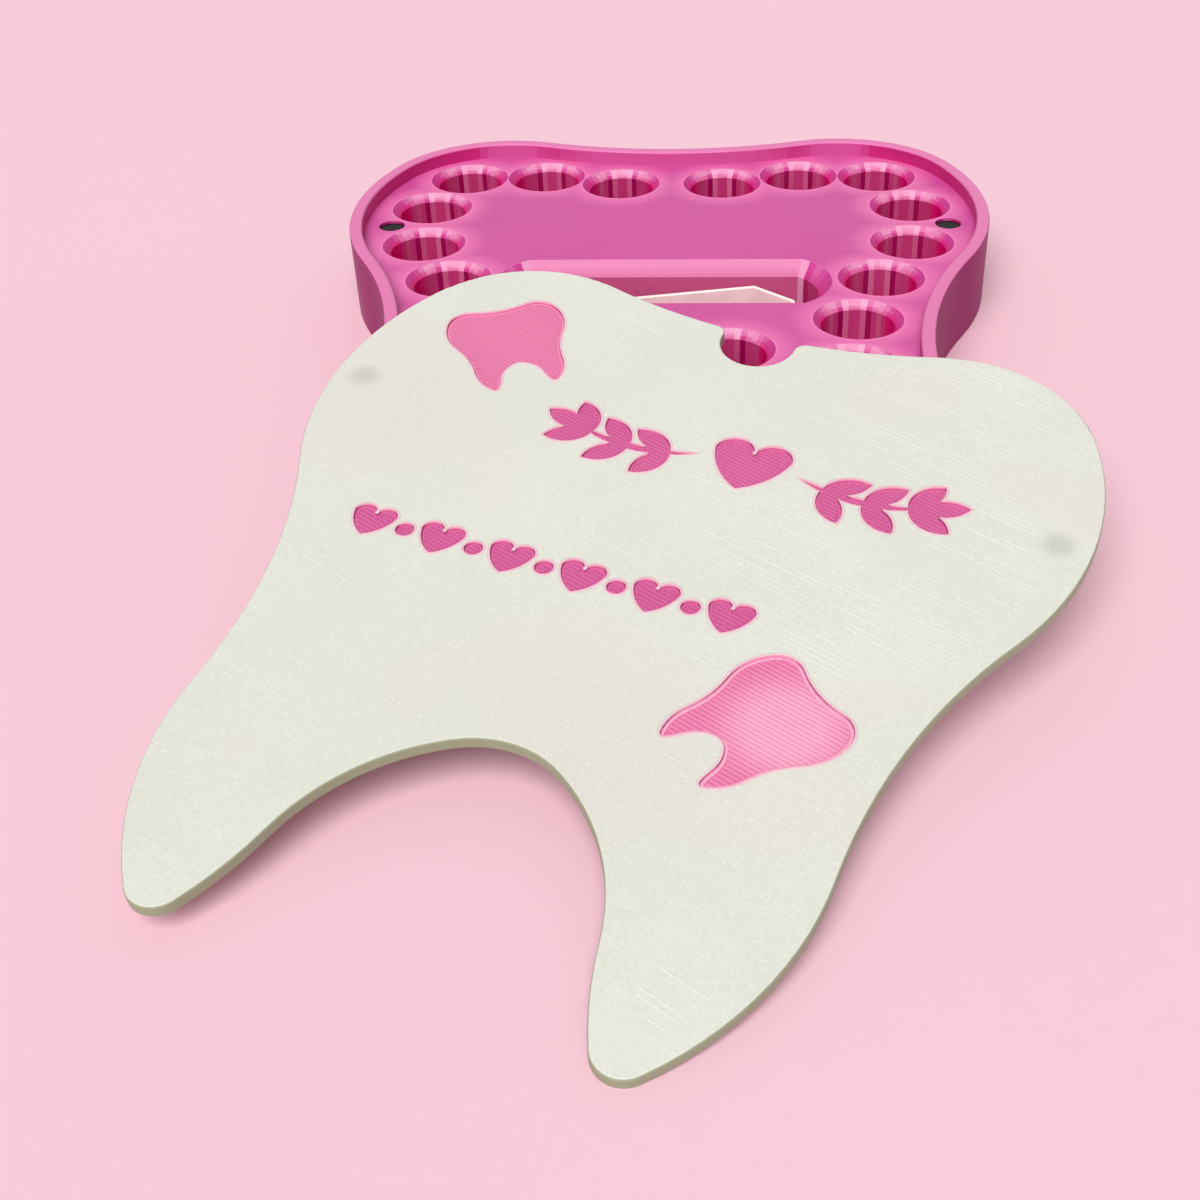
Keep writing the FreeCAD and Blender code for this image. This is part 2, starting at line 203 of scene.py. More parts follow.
@dataclass
class Group:
    """A node group: its graph, its input node and the identifiers of its inputs."""

    graph: Graph
    given: Node
    sockets: Dict[str, str]

    def end(self, geometry: NodeSocket) -> None:
        """Ends a geometry tree with real faces and its plastic on them.

        Args:
            geometry: What the tree has made.
        """
        real = self.graph.add("GeometryNodeRealizeInstances", {0: geometry})
        coated = self.graph.add("GeometryNodeSetMaterial", {"Geometry": real.outputs[0],
                                                            "Material": self.given.outputs["Plastic"]})
        self.graph.add("NodeGroupOutput", {0: coated.outputs[0]})

    def draw(self, low: Any, high: Any, **more: NodeSocket) -> NodeSocket:
        """A seeded draw between two values."""
        values = {2: low, 3: high, "Seed": self.given.outputs["Seed"], **more}
        return self.graph.add("FunctionNodeRandomValue", values, data_type="FLOAT").outputs[1]

    def grow(self, guide: Object, values: Dict[str, Any]) -> Mesh:
        """Runs a geometry tree on a guide, which is then taken away.

        Args:
            guide: The object whose mesh the tree starts from.
            values: The tree's inputs by name.

        Returns:
            What the tree makes, as a plain mesh.
        """
        modifier = guide.modifiers.new(self.graph.tree.name, "NODES")
        modifier.node_group = self.graph.tree
        for label, value in values.items():
            modifier[self.sockets[label]] = value
        made = bpy.data.meshes.new_from_object(guide.evaluated_get(bpy.context.evaluated_depsgraph_get()))
        guide.modifiers.clear()
        bpy.data.objects.remove(guide)
        return made


def open_group(name: str, kind: str, inputs: Labels, outputs: Labels) -> Group:
    """Starts a node group.

    Args:
        name: The group's name.
        kind: The type of its tree.
        inputs: Names and kinds of its inputs.
        outputs: Names and kinds of its outputs.

    Returns:
        The group, without its output node.
    """
    tree = bpy.data.node_groups.new(name, kind)
    sockets = {}
    for label, sort in inputs:
        socket = tree.interface.new_socket(name=label, in_out="INPUT", socket_type="NodeSocket" + sort)
        sockets[label] = socket.identifier
    for label, sort in outputs:
        tree.interface.new_socket(name=label, in_out="OUTPUT", socket_type="NodeSocket" + sort)
    graph = Graph(tree)
    return Group(graph, graph.add("NodeGroupInput"), sockets)


@dataclass
class Effects:
    """Shader effects that several finishes share, each a node group made once."""

    round_power: float = 0.5
    patch_detail: float = 3.0
    grain_detail: float = 1.0
    grain_fineness: float = 40.0

    def build(self) -> None:
        """Makes every group."""
        self._print_lines()
        self._flecks()
        self._mottle()

    def start(self, name: str, inputs: Sequence[str], outputs: Sequence[str]) -> Group:
        """Starts a group that takes a vector and named values, and gives named values."""
        given, made = [[(label, "Float") for label in labels] for labels in (inputs, outputs)]
        return open_group(name, "ShaderNodeTree", [("Vector", "Vector"), *given], made)

    def _print_lines(self) -> None:
        """Rounded parallel lines of laid plastic, uneven from line to line."""
        group = self.start("Print lines", ["Spacing", "Unevenness"], ["Height", "Line tone"])
        graph, given = group.graph, group.given.outputs
        count = graph.math("DIVIDE", graph.axis(given[0], 1), given[1])
        arch = graph.math("SINE", graph.times(graph.math("FRACT", count), math.pi))
        number = graph.math("FLOOR", count)
        tone = graph.add("ShaderNodeTexWhiteNoise", {"W": number}, noise_dimensions="1D").outputs[0]
        kept = graph.rest(graph.times(tone, given[2]))
        height = graph.times(graph.math("POWER", arch, self.round_power), kept)
        graph.add("NodeGroupOutput", {"Height": height, "Line tone": tone})

    def _flecks(self) -> None:
        """Scattered small flecks that fill a share of the cells they lie in."""
        group = self.start("Flecks", ["Cells per metre", "Share", "Size"], ["Mask"])
        graph, given = group.graph, group.given.outputs
        cells = graph.add("ShaderNodeTexVoronoi", {"Vector": given[0], "Scale": given[1]})
        luck = graph.add("ShaderNodeSeparateColor", {0: cells.outputs["Color"]}).outputs[0]
        chosen = graph.math("LESS_THAN", luck, given[2])
        near = graph.ramp(cells.outputs["Distance"], given[3], 0.0)
        graph.add("NodeGroupOutput", {"Mask": graph.times(chosen, near)})

    def _mottle(self) -> None:
        """Slow uneven patches with a finer grain in them."""
        group = self.start("Mottle", ["Patches per metre", "Grain"], ["Tone"])
        graph, given = group.graph, group.given.outputs
        slow = {"Vector": given[0], "Scale": given[1], "Detail": self.patch_detail}
        patches = graph.add("ShaderNodeTexNoise", slow).outputs[0]
        fine = {"Vector": given[0], "Scale": graph.times(given[1], self.grain_fineness),
                "Detail": self.grain_detail}
        grain = graph.math("SUBTRACT", graph.add("ShaderNodeTexNoise", fine).outputs[0], 0.5)
        graph.add("NodeGroupOutput", {"Tone": graph.math("ADD", patches, graph.times(grain, given[2]))})


@dataclass
class Canvas(Graph):
    """A material's graph, with the coordinates that its finish is laid out in."""

    place: Any = None

    def effect(self, name: str, *values: Any) -> Node:
        """Puts a shared effect into the material, with values for its inputs in their order."""
        tree = bpy.data.node_groups[name]
        return self.add("ShaderNodeGroup", dict(enumerate(values)), node_tree=tree)

    def lines(self, place: NodeSocket, spacing: float, unevenness: float,
              output: str = "Height") -> NodeSocket:
        """The height, or another output, of print lines."""
        return self.effect("Print lines", place, spacing, unevenness).outputs[output]

    def flecks(self, cells: float, share: float, size: float) -> NodeSocket:
        """The mask of scattered flecks."""
        return self.effect("Flecks", self.place, cells, share, size).outputs["Mask"]

    def mottle(self, patches: float, grain: float = 0.0) -> NodeSocket:
        """The tone of slow patches."""
        return self.effect("Mottle", self.place, patches, grain).outputs["Tone"]


@dataclass(frozen=True)
class LidLean:
    """Where the lid leans: its own frame, with the underside at height 0, set into the object's frame."""

    turn: float = math.radians(-20.5)
    reach: float = 80.0 * MM
    shift: float = -3.35 * MM
    tray_height: float = 13.0 * MM
    tray_front: float = -56.5 * MM
    tip_across: float = 24.0 * MM
    tip_along: float = -51.1 * MM
    tip_radius: float = 3.2 * MM

    def matrix(self) -> Matrix:
        """Works out the lean.

        Returns:
            The matrix from the lid's frame to the object's frame.
        """
        across = abs(math.sin(self.turn)) * self.tip_across
        lowest = math.cos(self.turn) * self.tip_along - across - self.tip_radius
        pitch = math.asin(self.tray_height / self.reach)
        place = Vector((self.shift, self.tray_front - self.reach * math.cos(pitch), 0.0))
        tilt = Matrix.Translation(place) @ Matrix.Rotation(pitch, 4, "X")
        return tilt @ Matrix.Translation((0, -lowest, 0)) @ Matrix.Rotation(self.turn, 4, "Z")

    def coordinates(self, graph: Graph, turn: float = 0.0) -> NodeSocket:
        """Brings object coordinates back to the lid's frame.

        Args:
            graph: The material's graph.
            turn: A further turn about the lid's upright axis.

        Returns:
            The socket of the coordinates.
        """
        back = Matrix.Rotation(turn, 4, "Z") @ self.matrix().inverted()
        values = {"Vector": graph.object_place(), "Location": back.to_translation(),
                  "Rotation": back.to_euler()}
        return graph.add("ShaderNodeMapping", values).outputs[0]


LEAN = LidLean()


@dataclass(frozen=True)
class Finish:
    """A printed or plated surface: its two tones, gloss and fine relief.

    The material is made by material(), which subclasses extend through colour(), relief() and gloss().
    """

    name: str
    dark: Colour
    light: Colour
    roughness: Range
    patches: float = 60.0
    grain: float = 0.5
    specular: float = 0.5
    metallic: float = 0.0
    tint: Colour = (1.0, 1.0, 1.0, 1.0)
    bump: float = 0.3
    bump_depth: float = 0.05 * MM

    def material(self) -> Material:
        """Makes the material.

        Returns:
            The new material.
        """
        made = bpy.data.materials.new(self.name)
        made.use_nodes = True
        made.node_tree.nodes.clear()
        on = Canvas(made.node_tree)
        on.place = self.position(on)
        tone = on.mottle(self.patches, self.grain)
        base = on.mix(on.ramp(tone, *TONE_RANGE), self.dark, self.light)
        roughness = on.add("ShaderNodeMapRange", dict(enumerate((tone, *TONE_RANGE, *self.roughness))))
        bump = on.add("ShaderNodeBump", {"Height": self.relief(on, tone), "Strength": self.bump,
                                         "Distance": self.bump_depth})
        shader = on.add("ShaderNodeBsdfPrincipled", {
            "Base Color": self.colour(on, base), "Metallic": self.metallic, "Normal": bump.outputs[0],
            "Roughness": roughness.outputs[0], "Specular IOR Level": self.gloss(on),
            "Specular Tint": self.tint})
        on.add("ShaderNodeOutputMaterial", {"Surface": shader.outputs[0]})
        return made

    def position(self, on: Canvas) -> NodeSocket:
        """The coordinates that the finish is laid out in."""
        return on.object_place()

    def colour(self, on: Canvas, base: NodeSocket) -> NodeSocket:
        """The colour once the finish's own marks are laid on its base."""
        return base

    def relief(self, on: Canvas, tone: NodeSocket) -> NodeSocket:
        """The height that the bump follows."""
        return tone

    def gloss(self, on: Canvas) -> Any:
        """How strongly the surface mirrors: one value, or the socket of a mask."""
        return self.specular


@dataclass(frozen=True)
class SilkFinish(Finish):
    """Silky printed plastic: level layer lines on its walls and fine raster lines on its flats."""

    roughness: Range = (0.3, 0.4)
    layer: float = 0.2 * MM
    layer_unevenness: float = 0.5
    raster: float = 0.45 * MM
    raster_unevenness: float = 0.6
    raster_turn: float = math.radians(45)
    raster_depth: float = 0.25
    grain_depth: float = 0.15
    flat_range: Range = (0.75, 0.98)

    def rasters(self, on: Canvas, output: str) -> NodeSocket:
        """An output of the flats' raster lines."""
        turned = on.turned(on.place, 0, 0, self.raster_turn)
        return on.lines(turned, self.raster, self.raster_unevenness, output)

    def relief(self, on: Canvas, tone: NodeSocket) -> NodeSocket:
        """Raises layer lines on upright faces and raster lines on level ones.

        Args:
            on: The canvas.
            tone: The tone of its grain.

        Returns:
            The socket of the height.
        """
        layers = on.lines(on.turned(on.place, math.pi / 2, 0, 0), self.layer, self.layer_unevenness)
        top = on.level(*self.flat_range)
        faint = on.times(on.times(self.rasters(on, "Height"), top), self.raster_depth)
        lines = on.math("ADD", on.times(layers, on.rest(top)), faint)
        return on.math("ADD", lines, on.times(tone, self.grain_depth))


def pocket_places() -> List[Place]:
    """Finds the tooth pockets in the openings that the record keeps for them.

    Returns:
        Their centres.
    """
    found = []
    for opening in frame["record"]["physics"]["openings"]:
        if opening["name"].startswith("tooth_pocket"):
            low, high = opening["box_m"]
            found.append(((low[0] + high[0]) / 2, (low[1] + high[1]) / 2, 0.0))
    return found


@dataclass(frozen=True)
class TrayFinish(SilkFinish):
    """The tray's silk: painted sheen round the pockets with a painted glint at their mouths, a painted
    highlight on the rim, painted shade on the walls, lighter where they face the front, and outer walls
    painted darker and dull.
    """

    line: Colour = screen(212, 88, 160)
    line_share: float = 0.25
    # Painted sheen on the deck round the pockets.
    pocket_sheen: Colour = screen(232, 112, 174)
    pocket_sheen_reach: Range = (10.5 * MM, 6.6 * MM)
    pocket_sheen_share: float = 0.75
    # Painted glint round each pocket's mouth.
    ring: Colour = screen(242, 128, 184)
    mouth_glint_reach: Range = (6.95 * MM, 6.65 * MM)
    mouth_glint_share: float = 0.6
    # Painted highlight on the top of the rim.
    rim: Colour = screen(222, 118, 172)
    rim_highlight_height: Range = (12.55 * MM, 12.85 * MM)
    # Painted shade on the upright walls, with painted light where they face the front.
    wall: Colour = screen(196, 40, 122)
    lit_wall_facing: Colour = screen(206, 84, 152)
    lit_facing_range: Range = (0.93, 0.99)
    shaded_wall_level: Range = (0.2, 0.5)
    # Painted shade on the outer walls, which are also less glossy.
    outside: Colour = screen(152, 38, 104)
    outside_level: Range = (0.3, 0.8)
    outside_reach: Range = (0.0, 5.0 * MM)
    outside_gloss: float = 0.03

    def colour(self, on: Canvas, base: NodeSocket) -> NodeSocket:
        """Lays the deck's laid lines, the painted sheen and glint round the pockets, the rim's painted
        highlight and the walls' painted shade on the base.

        Args:
            on: The canvas.
            base: The base colour.

        Returns:
            The colour.
        """
        deck = on.lay(base, self.line, self.rasters(on, "Line tone"), self.line_share)
        apart = self.pocket_distance(on)
        # Painted sheen round the pockets.
        deck = on.lay(deck, self.pocket_sheen, on.ramp(apart, *self.pocket_sheen_reach), self.pocket_sheen_share)
        # Painted glint at the pockets' mouths.
        deck = on.lay(deck, self.ring, on.ramp(apart, *self.mouth_glint_reach), self.mouth_glint_share)
        # Painted highlight on the rim's top.
        top = on.mix(on.ramp(on.axis(on.place, 2), *self.rim_highlight_height), deck, self.rim)
        # Painted shade on upright faces, with painted light where they face the front.
        wall = on.mix(on.front(*self.lit_facing_range), self.wall, self.lit_wall_facing)
        walled = on.mix(on.level(*self.shaded_wall_level), wall, top)
        # The outer walls take their painted shade.
        return on.mix(self.outer(on), walled, self.outside)

    def pocket_distance(self, on: Canvas) -> NodeSocket:
        """Measures how far a place on the deck lies from the nearest pocket's middle.

        Args:
            on: The canvas.

        Returns:
            The socket of the distance.
        """
        flat = on.flat(on.place)
        nearest: Any = 1.0
        for middle in pocket_places():
            nearest = on.math("MINIMUM", nearest, on.apart(flat, middle))
        return nearest

    def outer(self, on: Canvas) -> NodeSocket:
        """A mask of the upright faces that look away from the tray's middle."""
        away = on.vector("DOT_PRODUCT", on.flat(on.place), on.normal(), "Value")
        return on.times(on.ramp(away, *self.outside_reach), on.rest(on.level(*self.outside_level)))

    def gloss(self, on: Canvas) -> NodeSocket:
        """Silky inside, dull on the outer walls."""
        names = {"Value": self.outer(on), "To Min": self.specular, "To Max": self.outside_gloss}
        return on.add("ShaderNodeMapRange", names).outputs[0]


@dataclass(frozen=True)
class PocketFinish(SilkFinish):
    """The hollows' silk, with light and shade painted facet by facet: how light, how much lit lip and how
    much crimson shade.
    """

    # Painted light and shade, in order: the lip's lit colour on the bevels, the crimson of the shaded wall
    # ends, painted shade and painted highlight.
    lip: Colour = screen(202, 60, 144)
    crimson_shade: Colour = screen(222, 0, 112)
    painted_shade: Colour = screen(150, 6, 78)
    painted_highlight: Colour = screen(234, 160, 194)
    middle: float = 0.5

    def colour(self, on: Canvas, base: NodeSocket) -> NodeSocket:
        """Paints the lit lip, darker facets as painted shade, lighter ones as painted highlight and the
        crimson shade of the ends on the base.

        Args:
            on: The canvas.
            base: The base colour.

        Returns:
            The colour.
        """
        mark = on.add("ShaderNodeAttribute", attribute_name=PAINTED_LIGHT).outputs["Vector"]
        light, lip, crimson_shade = on.add("ShaderNodeSeparateXYZ", {0: mark}).outputs
        # Paints the lip's light, then shade or highlight by each facet's tone, then the crimson shade.
        lipped = on.mix(lip, base, self.lip)
        darker = on.mix(on.ramp(light, self.middle, 0.0), lipped, self.painted_shade)
        lighter = on.mix(on.ramp(light, self.middle, 1.0), darker, self.painted_highlight)
        return on.mix(crimson_shade, lighter, self.crimson_shade)


@dataclass(frozen=True)
class PearlFinish(Finish):
    """Creamy pearl plastic with flecks coloured as their painted glints, faint print lines, the magnets
    showing through and painted shade on its edges.

    Flecks and specks are given as cells per metre, share of the cells filled and size in a cell.
    """

    line_unevenness: float = 0.8
    line_depth: float = 0.35
    blush: Colour = screen(214, 205, 197)
    blush_patches: float = 24.0
    blush_range: Range = (0.48, 0.7)
    blush_share: float = 0.6
    # The pearl's flakes, coloured as their painted glints.
    fleck_glint: Colour = screen(255, 255, 246)
    flecks: Tuple[float, float, float] = (2600.0, 0.24, 0.45)
    fleck_glint_share: float = 0.4
    speck: Colour = screen(150, 148, 138)
    specks: Tuple[float, float, float] = (220.0, 0.015, 0.06)
    speck_share: float = 0.7
    shade: Colour = screen(178, 179, 166)
    shade_share: float = 0.55
    magnets: Tuple[Place, ...] = ((-44.35 * MM, 24.39 * MM, 0.0), (44.35 * MM, 24.39 * MM, 0.0))
    magnet_reach: Range = (2.8 * MM, 0.7 * MM)
    # Painted shade on the upright edges, greyer and greener to offset the pink light that the floor throws
    # on them.
    edge: Colour = screen(152, 160, 129)
    shaded_edge_range: Range = (0.6, 0.9)

    def position(self, on: Canvas) -> NodeSocket:
        """The lid's own coordinates."""
        return LEAN.coordinates(on)

    def colour(self, on: Canvas, base: NodeSocket) -> NodeSocket:
        """Lays flecks with their painted glints, specks, the magnets' soft shadows and the edges' painted
        shade on the cream.

        Args:
            on: The canvas.
            base: The base colour.

        Returns:
            The colour.
        """
        warm = on.ramp(on.mottle(self.blush_patches), *self.blush_range)
        colour = on.lay(base, self.blush, warm, self.blush_share)
        # Flecks with their painted glints.
        colour = on.lay(colour, self.fleck_glint, on.flecks(*self.flecks), self.fleck_glint_share)
        colour = on.lay(colour, self.speck, on.flecks(*self.specks), self.speck_share)
        flat = on.flat(on.place)
        for magnet in self.magnets:
            near = on.ramp(on.apart(flat, magnet), *self.magnet_reach)
            colour = on.lay(colour, self.shade, near, self.shade_share)
        # Painted shade on the upright faces.
        return on.mix(on.level(*self.shaded_edge_range), self.edge, colour)

    def relief(self, on: Canvas, tone: NodeSocket) -> NodeSocket:
        """Print lines across the face, over the pearl's grain."""
        lines = on.lines(on.turned(on.place, 0, 0, -LINE_TURN), LID_LINE, self.line_unevenness)
        return on.math("ADD", on.times(lines, self.line_depth), tone)


@dataclass(frozen=True)
class InlayFinish(Finish):
    """Pink plastic printed into the lid: relief follows its laid lines, and shade is painted in the grooves
    between them.
    """

    roughness: Range = (0.36, 0.5)
    line_unevenness: float = 0.3
    grain_depth: float = 0.3
    # Painted shade in the grooves between the laid lines, coming and going in slow patches.
    groove_shade: Colour = screen(190, 84, 130)
    groove_shade_range: Range = (0.55, 0.15)
    groove_shade_share: float = 0.5
    shade_patches: float = 130.0
    shade_patch_range: Range = (0.4, 0.6)
    # A painted highlight over the middle of an inlay, where asked for.
    middle_highlight: Optional[Colour] = None
    middle_highlight_place: Place = (15.9 * MM, -96.5 * MM, 7.6 * MM)
    middle_highlight_reach: Range = (9.0 * MM, 3.0 * MM)

    def position(self, on: Canvas) -> NodeSocket:
        """The lid's coordinates, turned along the laid lines."""
        return LEAN.coordinates(on, -LINE_TURN)

    def colour(self, on: Canvas, base: NodeSocket) -> NodeSocket:
        """Paints a highlight on the middle, if asked for, and paints shade in the grooves between the
        lines, in patches.

        Args:
            on: The canvas.
            base: The base colour.

        Returns:
            The colour.
        """
        # Painted highlight on the middle.
        if self.middle_highlight is not None:
            apart = on.apart(on.object_place(), self.middle_highlight_place)
            base = on.mix(on.ramp(apart, *self.middle_highlight_reach), base, self.middle_highlight)
        lines = on.lines(on.place, INLAY_LINE, self.line_unevenness)
        # The painted shade in the grooves comes and goes in slow patches.
        fade = on.ramp(on.mottle(self.shade_patches), *self.shade_patch_range)
        patchy_groove_shade = on.times(on.ramp(lines, *self.groove_shade_range), fade)
        return on.lay(base, self.groove_shade, patchy_groove_shade, self.groove_shade_share)

    def relief(self, on: Canvas, tone: NodeSocket) -> NodeSocket:
        """The rounded lines themselves."""
        lines = on.lines(on.place, INLAY_LINE, self.line_unevenness)
        return on.math("ADD", lines, on.times(tone, self.grain_depth))


@dataclass(frozen=True)
class RidgeFinish(InlayFinish):
    """Laid lines that stand proud of an inlay, with no shade painted between them."""

    roughness: Range = (0.32, 0.45)
    groove_shade_share: float = 0.0


@dataclass(frozen=True)
class RecessFinish(InlayFinish):
    """The walls round an inlay, painted darker at the sides as painted shade and lighter where they face
    the front as painted light.
    """

    roughness: Range = (0.4, 0.5)
    # Painted light on walls that face the front.
    front_light: Colour = screen(246, 160, 196)
    lit_facing_range: Range = (0.45, 0.85)

    def colour(self, on: Canvas, base: NodeSocket) -> NodeSocket:
        """Paints light on the walls that face the front."""
        return on.mix(on.front(*self.lit_facing_range), base, self.front_light)


TRAY_PINK = TrayFinish("silk_pink_print", screen(200, 70, 147), screen(206, 80, 155), specular=0.25)
# The linings' base is the tray's silk painted darker, as painted shade in the hollows.
SHADED_LINING_PINK = PocketFinish("silk_pink_lining_shaded", screen(184, 50, 109), screen(190, 58, 117), specular=0.15)
LID_WHITE = PearlFinish("pearl_white_print", screen(211, 211, 200), screen(216, 216, 206), (0.38, 0.5),
                        patches=50.0, grain=1.0, bump=0.25)
# The lid's white painted lighter, as a painted highlight on the print ridges.
RIDGE_HIGHLIGHT_WHITE = PearlFinish("pearl_white_ridge_highlight", screen(227, 227, 218), screen(235, 235, 227), (0.3, 0.4))
SEAM_PINK = PearlFinish("pearl_white_seam", screen(228, 184, 194), screen(234, 192, 202), (0.35, 0.45),
                        edge=screen(228, 184, 194))
# The lower tooth's inlay pink, with a painted highlight over its middle.
INLAY_HIGHLIT = InlayFinish("inlay_pink_highlit", screen(214, 102, 150), screen(220, 112, 158),
                          middle_highlight=screen(236, 154, 186))
INLAY_MIDDLE = InlayFinish("inlay_pink_middle", screen(217, 106, 153), screen(223, 116, 161),
                           groove_shade=screen(206, 96, 142))
# The inlay pink painted darker, as painted shade on the thin ornaments.
INLAY_SHADED = InlayFinish("inlay_pink_shaded", screen(198, 78, 138), screen(205, 88, 146),
                         groove_shade=screen(182, 64, 124))
# The ridges' finishes, with the same painted highlight on the lower tooth and painted shade on the
# ornaments.
RIDGE_HIGHLIT = RidgeFinish("inlay_ridge_highlit", screen(222, 116, 160), screen(228, 126, 168),
                          middle_highlight=screen(240, 162, 191))
RIDGE_MIDDLE = RidgeFinish("inlay_ridge_middle", screen(220, 111, 157), screen(226, 120, 164))
RIDGE_SHADED = RidgeFinish("inlay_ridge_shaded", screen(204, 88, 145), screen(211, 98, 152))
# Outlines painted lighter than their inlays, as a painted highlight on the real outline lines.
RIM_STRONG_HIGHLIGHT = RidgeFinish("inlay_rim_strong_highlight", screen(240, 158, 188), screen(246, 168, 196))
RIM_HIGHLIGHT = RidgeFinish("inlay_rim_highlight", screen(226, 124, 166), screen(232, 132, 172))
# The recess walls' pink painted darker, as painted shade, with painted light where they face the front.
RECESS_SHADED_PINK = RecessFinish("inlay_recess_wall_lit_and_shaded", screen(196, 82, 136), screen(204, 92, 144))
PLATED = Finish("magnet_plating", (0.003, 0.0025, 0.0025, 1.0), (0.01, 0.009, 0.009, 1.0), (0.12, 0.24),
                patches=900.0, metallic=1.0, bump=0.1, bump_depth=0.01 * MM, tint=(0.85, 0.82, 0.82, 1.0))
# The card's face painted darker and pinker, as painted shade and painted pink reflection inside the slot.
CARD_FACE_SHADED = Finish("pale_card_face_shaded", screen(198, 158, 162), screen(208, 170, 174), (0.5, 0.7),
                   patches=300.0, bump=0.2)
# The card's edges and border painted paler, as a painted highlight.
CARD_EDGE_HIGHLIGHT = Finish("pale_card_edge_highlight", screen(244, 222, 214), screen(250, 232, 226), (0.5, 0.7),
                   patches=300.0, bump=0.2)
FLOOR_FINISH = Finish("pale_floor", (0.836, 0.538, 0.613, 1.0), (0.842, 0.543, 0.619, 1.0), (0.75, 0.85),
                      patches=8.0, grain=0.2, specular=0.1, bump=0.02)


def paint(finish: Finish) -> Material:
    """The material of a finish, which is made once."""
    return bpy.data.materials.get(finish.name) or finish.material()


def dress(piece: Object, *finishes: Finish) -> None:
    """Gives a piece its finishes, in the order of its faces' numbers.

    Args:
        piece: The piece.
        *finishes: One finish for the whole piece, or several.
    """
    # Clearing also sets every face's number to 0, so a new piece without materials is spared it.
    if len(piece.data.materials) > 0:
        piece.data.materials.clear()
    for finish in finishes:
        piece.data.materials.append(paint(finish))
    LOG.info("%s dressed in %s", piece.name, finishes[0].name)


def settle(piece: Object, body: Body, replaced: Sequence[str] = ()) -> None:
    """Attaches a finished piece to its body and hides the CAD nodes that it stands for.

    Args:
        piece: The piece, at the origin.
        body: The body that it moves with.
        replaced: The CAD nodes that it stands for.
    """
    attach(piece, body.value)
    if replaced:
        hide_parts(*replaced)
    LOG.info("%s rides on %s with %d faces", piece.name, body.value, len(piece.data.polygons))


def new_piece(name: str, mesh: Mesh) -> Object:
    """Links a mesh into the scene.

    Args:
        name: The piece's name, which its mesh takes too.
        mesh: The mesh.

    Returns:
        The new object.
    """
    mesh.name = name
    piece = bpy.data.objects.new(name, mesh)
    bpy.context.scene.collection.objects.link(piece)
    return piece


def shaped_piece(name: str, shape: bmesh.types.BMesh) -> Object:
    """Makes a piece from an edited shape, which is freed.

    Args:
        name: The piece's name.
        shape: The shape.

    Returns:
        The new object.
    """
    mesh = bpy.data.meshes.new(name)
    shape.to_mesh(mesh)
    shape.free()
    return new_piece(name, mesh)


def drawn_piece(name: str, points: Sequence[Place], edges: Sequence[Tuple[int, int]] = (),
                faces: Sequence[Sequence[int]] = ()) -> Object:
    """Makes a piece from plain points.

    Args:
        name: The piece's name.
        points: Its points.
        edges: Its edges, by their points' numbers.
        faces: Its faces, by their points' numbers.

    Returns:
        The new object.
    """
    mesh = bpy.data.meshes.new(name)
    mesh.from_pydata(points, edges, faces)
    return new_piece(name, mesh)


def merged_copy(node: str, into: Optional[Matrix] = None) -> bmesh.types.BMesh:
    """Copies a CAD node's mesh with its doubles merged.

    Args:
        node: The CAD node's name.
        into: A matrix that its points are brought through.

    Returns:
        The copy, which the caller frees.
    """
    copy = bmesh.new()
    copy.from_mesh(frame["nodes"][node].data)
    if into is not None:
        copy.transform(into)
    bmesh.ops.remove_doubles(copy, verts=copy.verts, dist=MERGE_DISTANCE)
    return copy


def level_loops(node: str, height: float) -> List[np.ndarray]:
    """Outlines of a lid node's faces at a height in the lid's frame.

    Args:
        node: The CAD node's name.
        height: The height of the faces above the lid's underside.

    Returns:
        Closed loops of points, each with the material on its left.
    """
    copy = merged_copy(node, LEAN.matrix().inverted())
    flat = [face for face in copy.faces if all(abs(v.co.z - height) < LEVEL_SLACK for v in face.verts)]
    level = set(flat)
    follows: Dict[int, List[int]] = {}
    places = {}
    for face in flat:
        for loop in face.loops:
            others = [other for other in loop.edge.link_faces if other is not face and other in level]
            if not others:
                start, end = loop.vert, loop.link_loop_next.vert
                follows.setdefault(start.index, []).append(end.index)
                places[start.index] = (start.co.x, start.co.y)
    copy.free()
    loops = []
    while follows:
        first = next(iter(follows))
        chain = [first]
        while chain[-1] in follows:
            ends = follows[chain[-1]]
            step = ends.pop()
            if not ends:
                del follows[chain[-1]]
            if step == first:
                break
            chain.append(step)
        loops.append(np.array([places[index] for index in chain]))
    return loops


